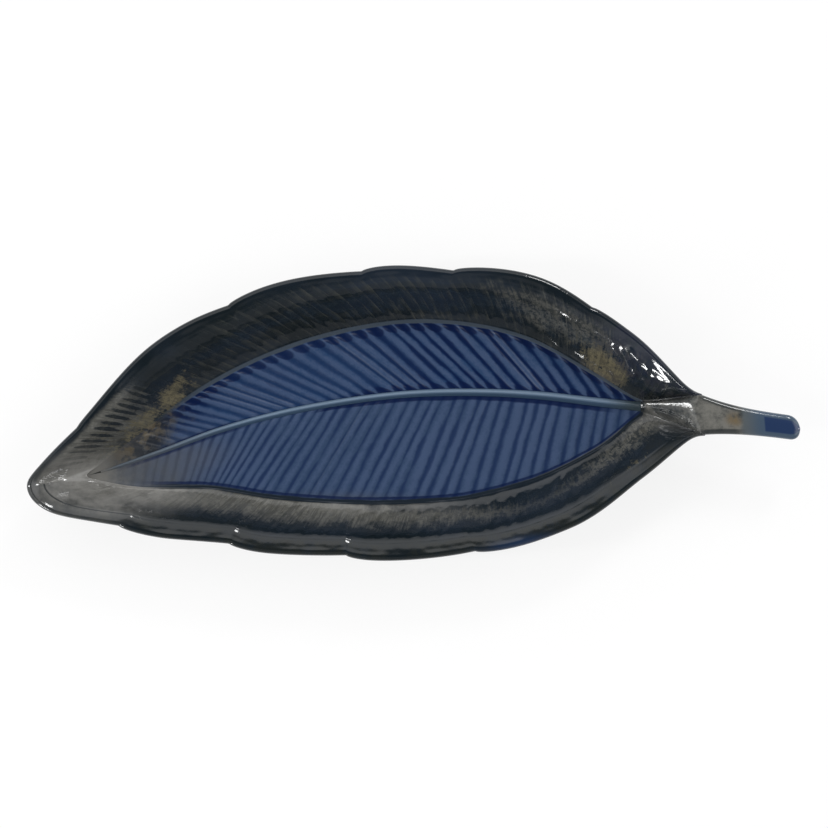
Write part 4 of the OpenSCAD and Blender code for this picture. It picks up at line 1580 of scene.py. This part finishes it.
@dataclass(frozen=True)
class Studio:
    """Pale floor, soft light and the camera, which looks straight down."""

    view_w: float = 384.5 * MM
    aim_x: float = 1.8 * MM
    aim_y: float = -1.1 * MM
    camera_h: float = 2.4
    camera_turn: float = -4.40
    sensor_w: float = 36.0
    clip_end: float = 50.0
    rim_z: float = 30 * MM
    floor_side: float = 12.0
    floor_lift: float = 0.8
    floor_dull: Colour = (0.93, 0.93, 0.93)
    floor_pale: Colour = (0.95, 0.95, 0.95)
    floor_roughness: float = 0.8
    room_light: float = 0.36
    hood_share: float = 0.85
    hood_inner: float = 20
    hood_outer: float = 34
    glows: tuple[Glow, ...] = (
        Glow(95, 38, 1.3, 6, 44),
        Glow(0, 34, 2.3, 8, 42),
        Glow(188, 40, 1.4, 8, 42),
    )
    sparks: tuple[Spark, ...] = (
        Spark("spark_tip", 357, 10, 0.20, 0.20, 32.0),
        Spark("spark_lip", 62, 38, 0.30, 0.26, 24.0),
        Spark("spark_wall", 229, 8, 0.41, 0.20, 38.0),
        Spark("spark_ridge", 180, 24, 0.12, 1.24, 24.0),
    )

    def lay_floor(self) -> None:
        """Lay the pale floor under the plate."""
        half = self.floor_side / 2
        mesh = bpy.data.meshes.new("pale_floor")
        corners = [(-half, -half, 0), (half, -half, 0), (half, half, 0), (-half, half, 0)]
        mesh.from_pydata(corners, [], [(0, 1, 2, 3)])
        paint = Finish("pale_floor_paint", self.floor_dull)
        paint.lay(self.floor_pale, *paint.clouds((60, 2, 0.5)))
        path = paint.add("ShaderNodeLightPath")
        seen: Feed = 0.0
        for ray in ("Is Camera Ray", "Is Glossy Ray", "Is Transmission Ray"):
            seen = Wire(paint, path.outputs[ray]) + seen
        white = paint.node("ShaderNodeEmission", values={"Strength": 1.0})
        shades = {0: seen * self.floor_lift, 1: paint.coat(self.floor_roughness), 2: white}
        mesh.materials.append(paint.fire(paint.node("ShaderNodeMixShader", values=shades)))
        floor = put("pale_floor", mesh)

    def light(self) -> None:
        """Give the room its broad glows and hang the small lamps."""
        world = bpy.data.worlds.new("room")
        world.use_nodes = True
        room = Bench(world.node_tree)
        way = room.node("ShaderNodeTexCoord", out="Generated")
        total: Feed = self.room_light
        for glow in self.glows:
            values = {0: way, 1: tuple(direction(glow.azimuth, glow.elevation))}
            facing = room.node("ShaderNodeVectorMath", {"operation": "DOT_PRODUCT"}, values, out="Value")
            total = room.cone(facing, glow.inner, glow.outer) * glow.strength + total
        hood = room.cone(room.part(way, 2), self.hood_inner, self.hood_outer)
        total = total * (1 - hood * self.hood_share)
        sky = room.node("ShaderNodeBackground", values={"Strength": total})
        room.add("ShaderNodeOutputWorld", values={"Surface": sky})
        bpy.context.scene.world = world
        for spark in self.sparks:
            spark.hang()

    def set_camera(self) -> None:
        """Put the camera over the plate, turned as the photograph is."""
        lens = bpy.data.cameras.new("overhead")
        lens.sensor_fit = "HORIZONTAL"
        lens.sensor_width = self.sensor_w
        lens.lens = lens.sensor_width * (self.camera_h - self.rim_z) / self.view_w
        lens.clip_end = self.clip_end
        camera = put("overhead", lens)
        camera.location = (self.aim_x, self.aim_y, self.camera_h)
        camera.rotation_euler = (0.0, 0.0, math.radians(self.camera_turn))
        bpy.context.scene.camera = camera
        bpy.context.scene.view_settings.view_transform = "Standard"


def dress_plate() -> None:
    """Build every piece of the plate and give it its finish."""
    form = LeafForm.from_frame()
    walls, floor = RimWalls(form), VeinedFloor(form)
    stem = StemHandle(form, form.plate_l - form.blade_l)
    rim, blue = RimGlaze().make(), FloorGlaze().make()
    plan = [
        (floor.field(Side.FAR), "far_veins", "floor_glaze", blue),
        (floor.field(Side.NEAR), "near_veins", "floor_glaze", blue),
        (walls.tip(), "tip_wall", "rim_glaze", rim),
        (walls.wall(Side.FAR), "far_wall", "rim_glaze", rim),
        (walls.wall(Side.NEAR), "near_wall", "rim_glaze", rim),
        (walls.lip(Side.FAR), "far_lip", "rim_glaze", rim),
        (walls.lip(Side.NEAR), "near_lip", "rim_glaze", rim),
        (stem.make(), "stem", "stem_glaze", StemGlaze().make()),
        (floor.midrib(), "midrib", "floor_glaze", blue),
        (FootRing(form).make(), "foot_ring", "bare_clay", BareClay().make()),
    ]
    shift, glaze_map = form.shift(), GlazeMap()
    skins = [row[0] for row in plan]
    for skin in skins:
        skin.points = skin.points + shift
        skin.weld()
        skin.marks.update(glaze_map.paint(skin.points))
    for (skin, node, slot, finish), corners in zip(plan, share_normals(skins)):
        make_piece(skin, corners, node, slot, finish)
    under = UnderGlaze().make()
    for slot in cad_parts["well_floor"].material_slots:
        slot.material = under
    LOG.info("well_floor keeps its shape and takes %s", under.name)


def main() -> None:
    """Build the scene."""
    logging.basicConfig(level=logging.INFO, format="%(message)s")
    studio = Studio()
    studio.set_camera()
    studio.lay_floor()
    studio.light()
    dress_plate()


if __name__ == "__main__":
    main()
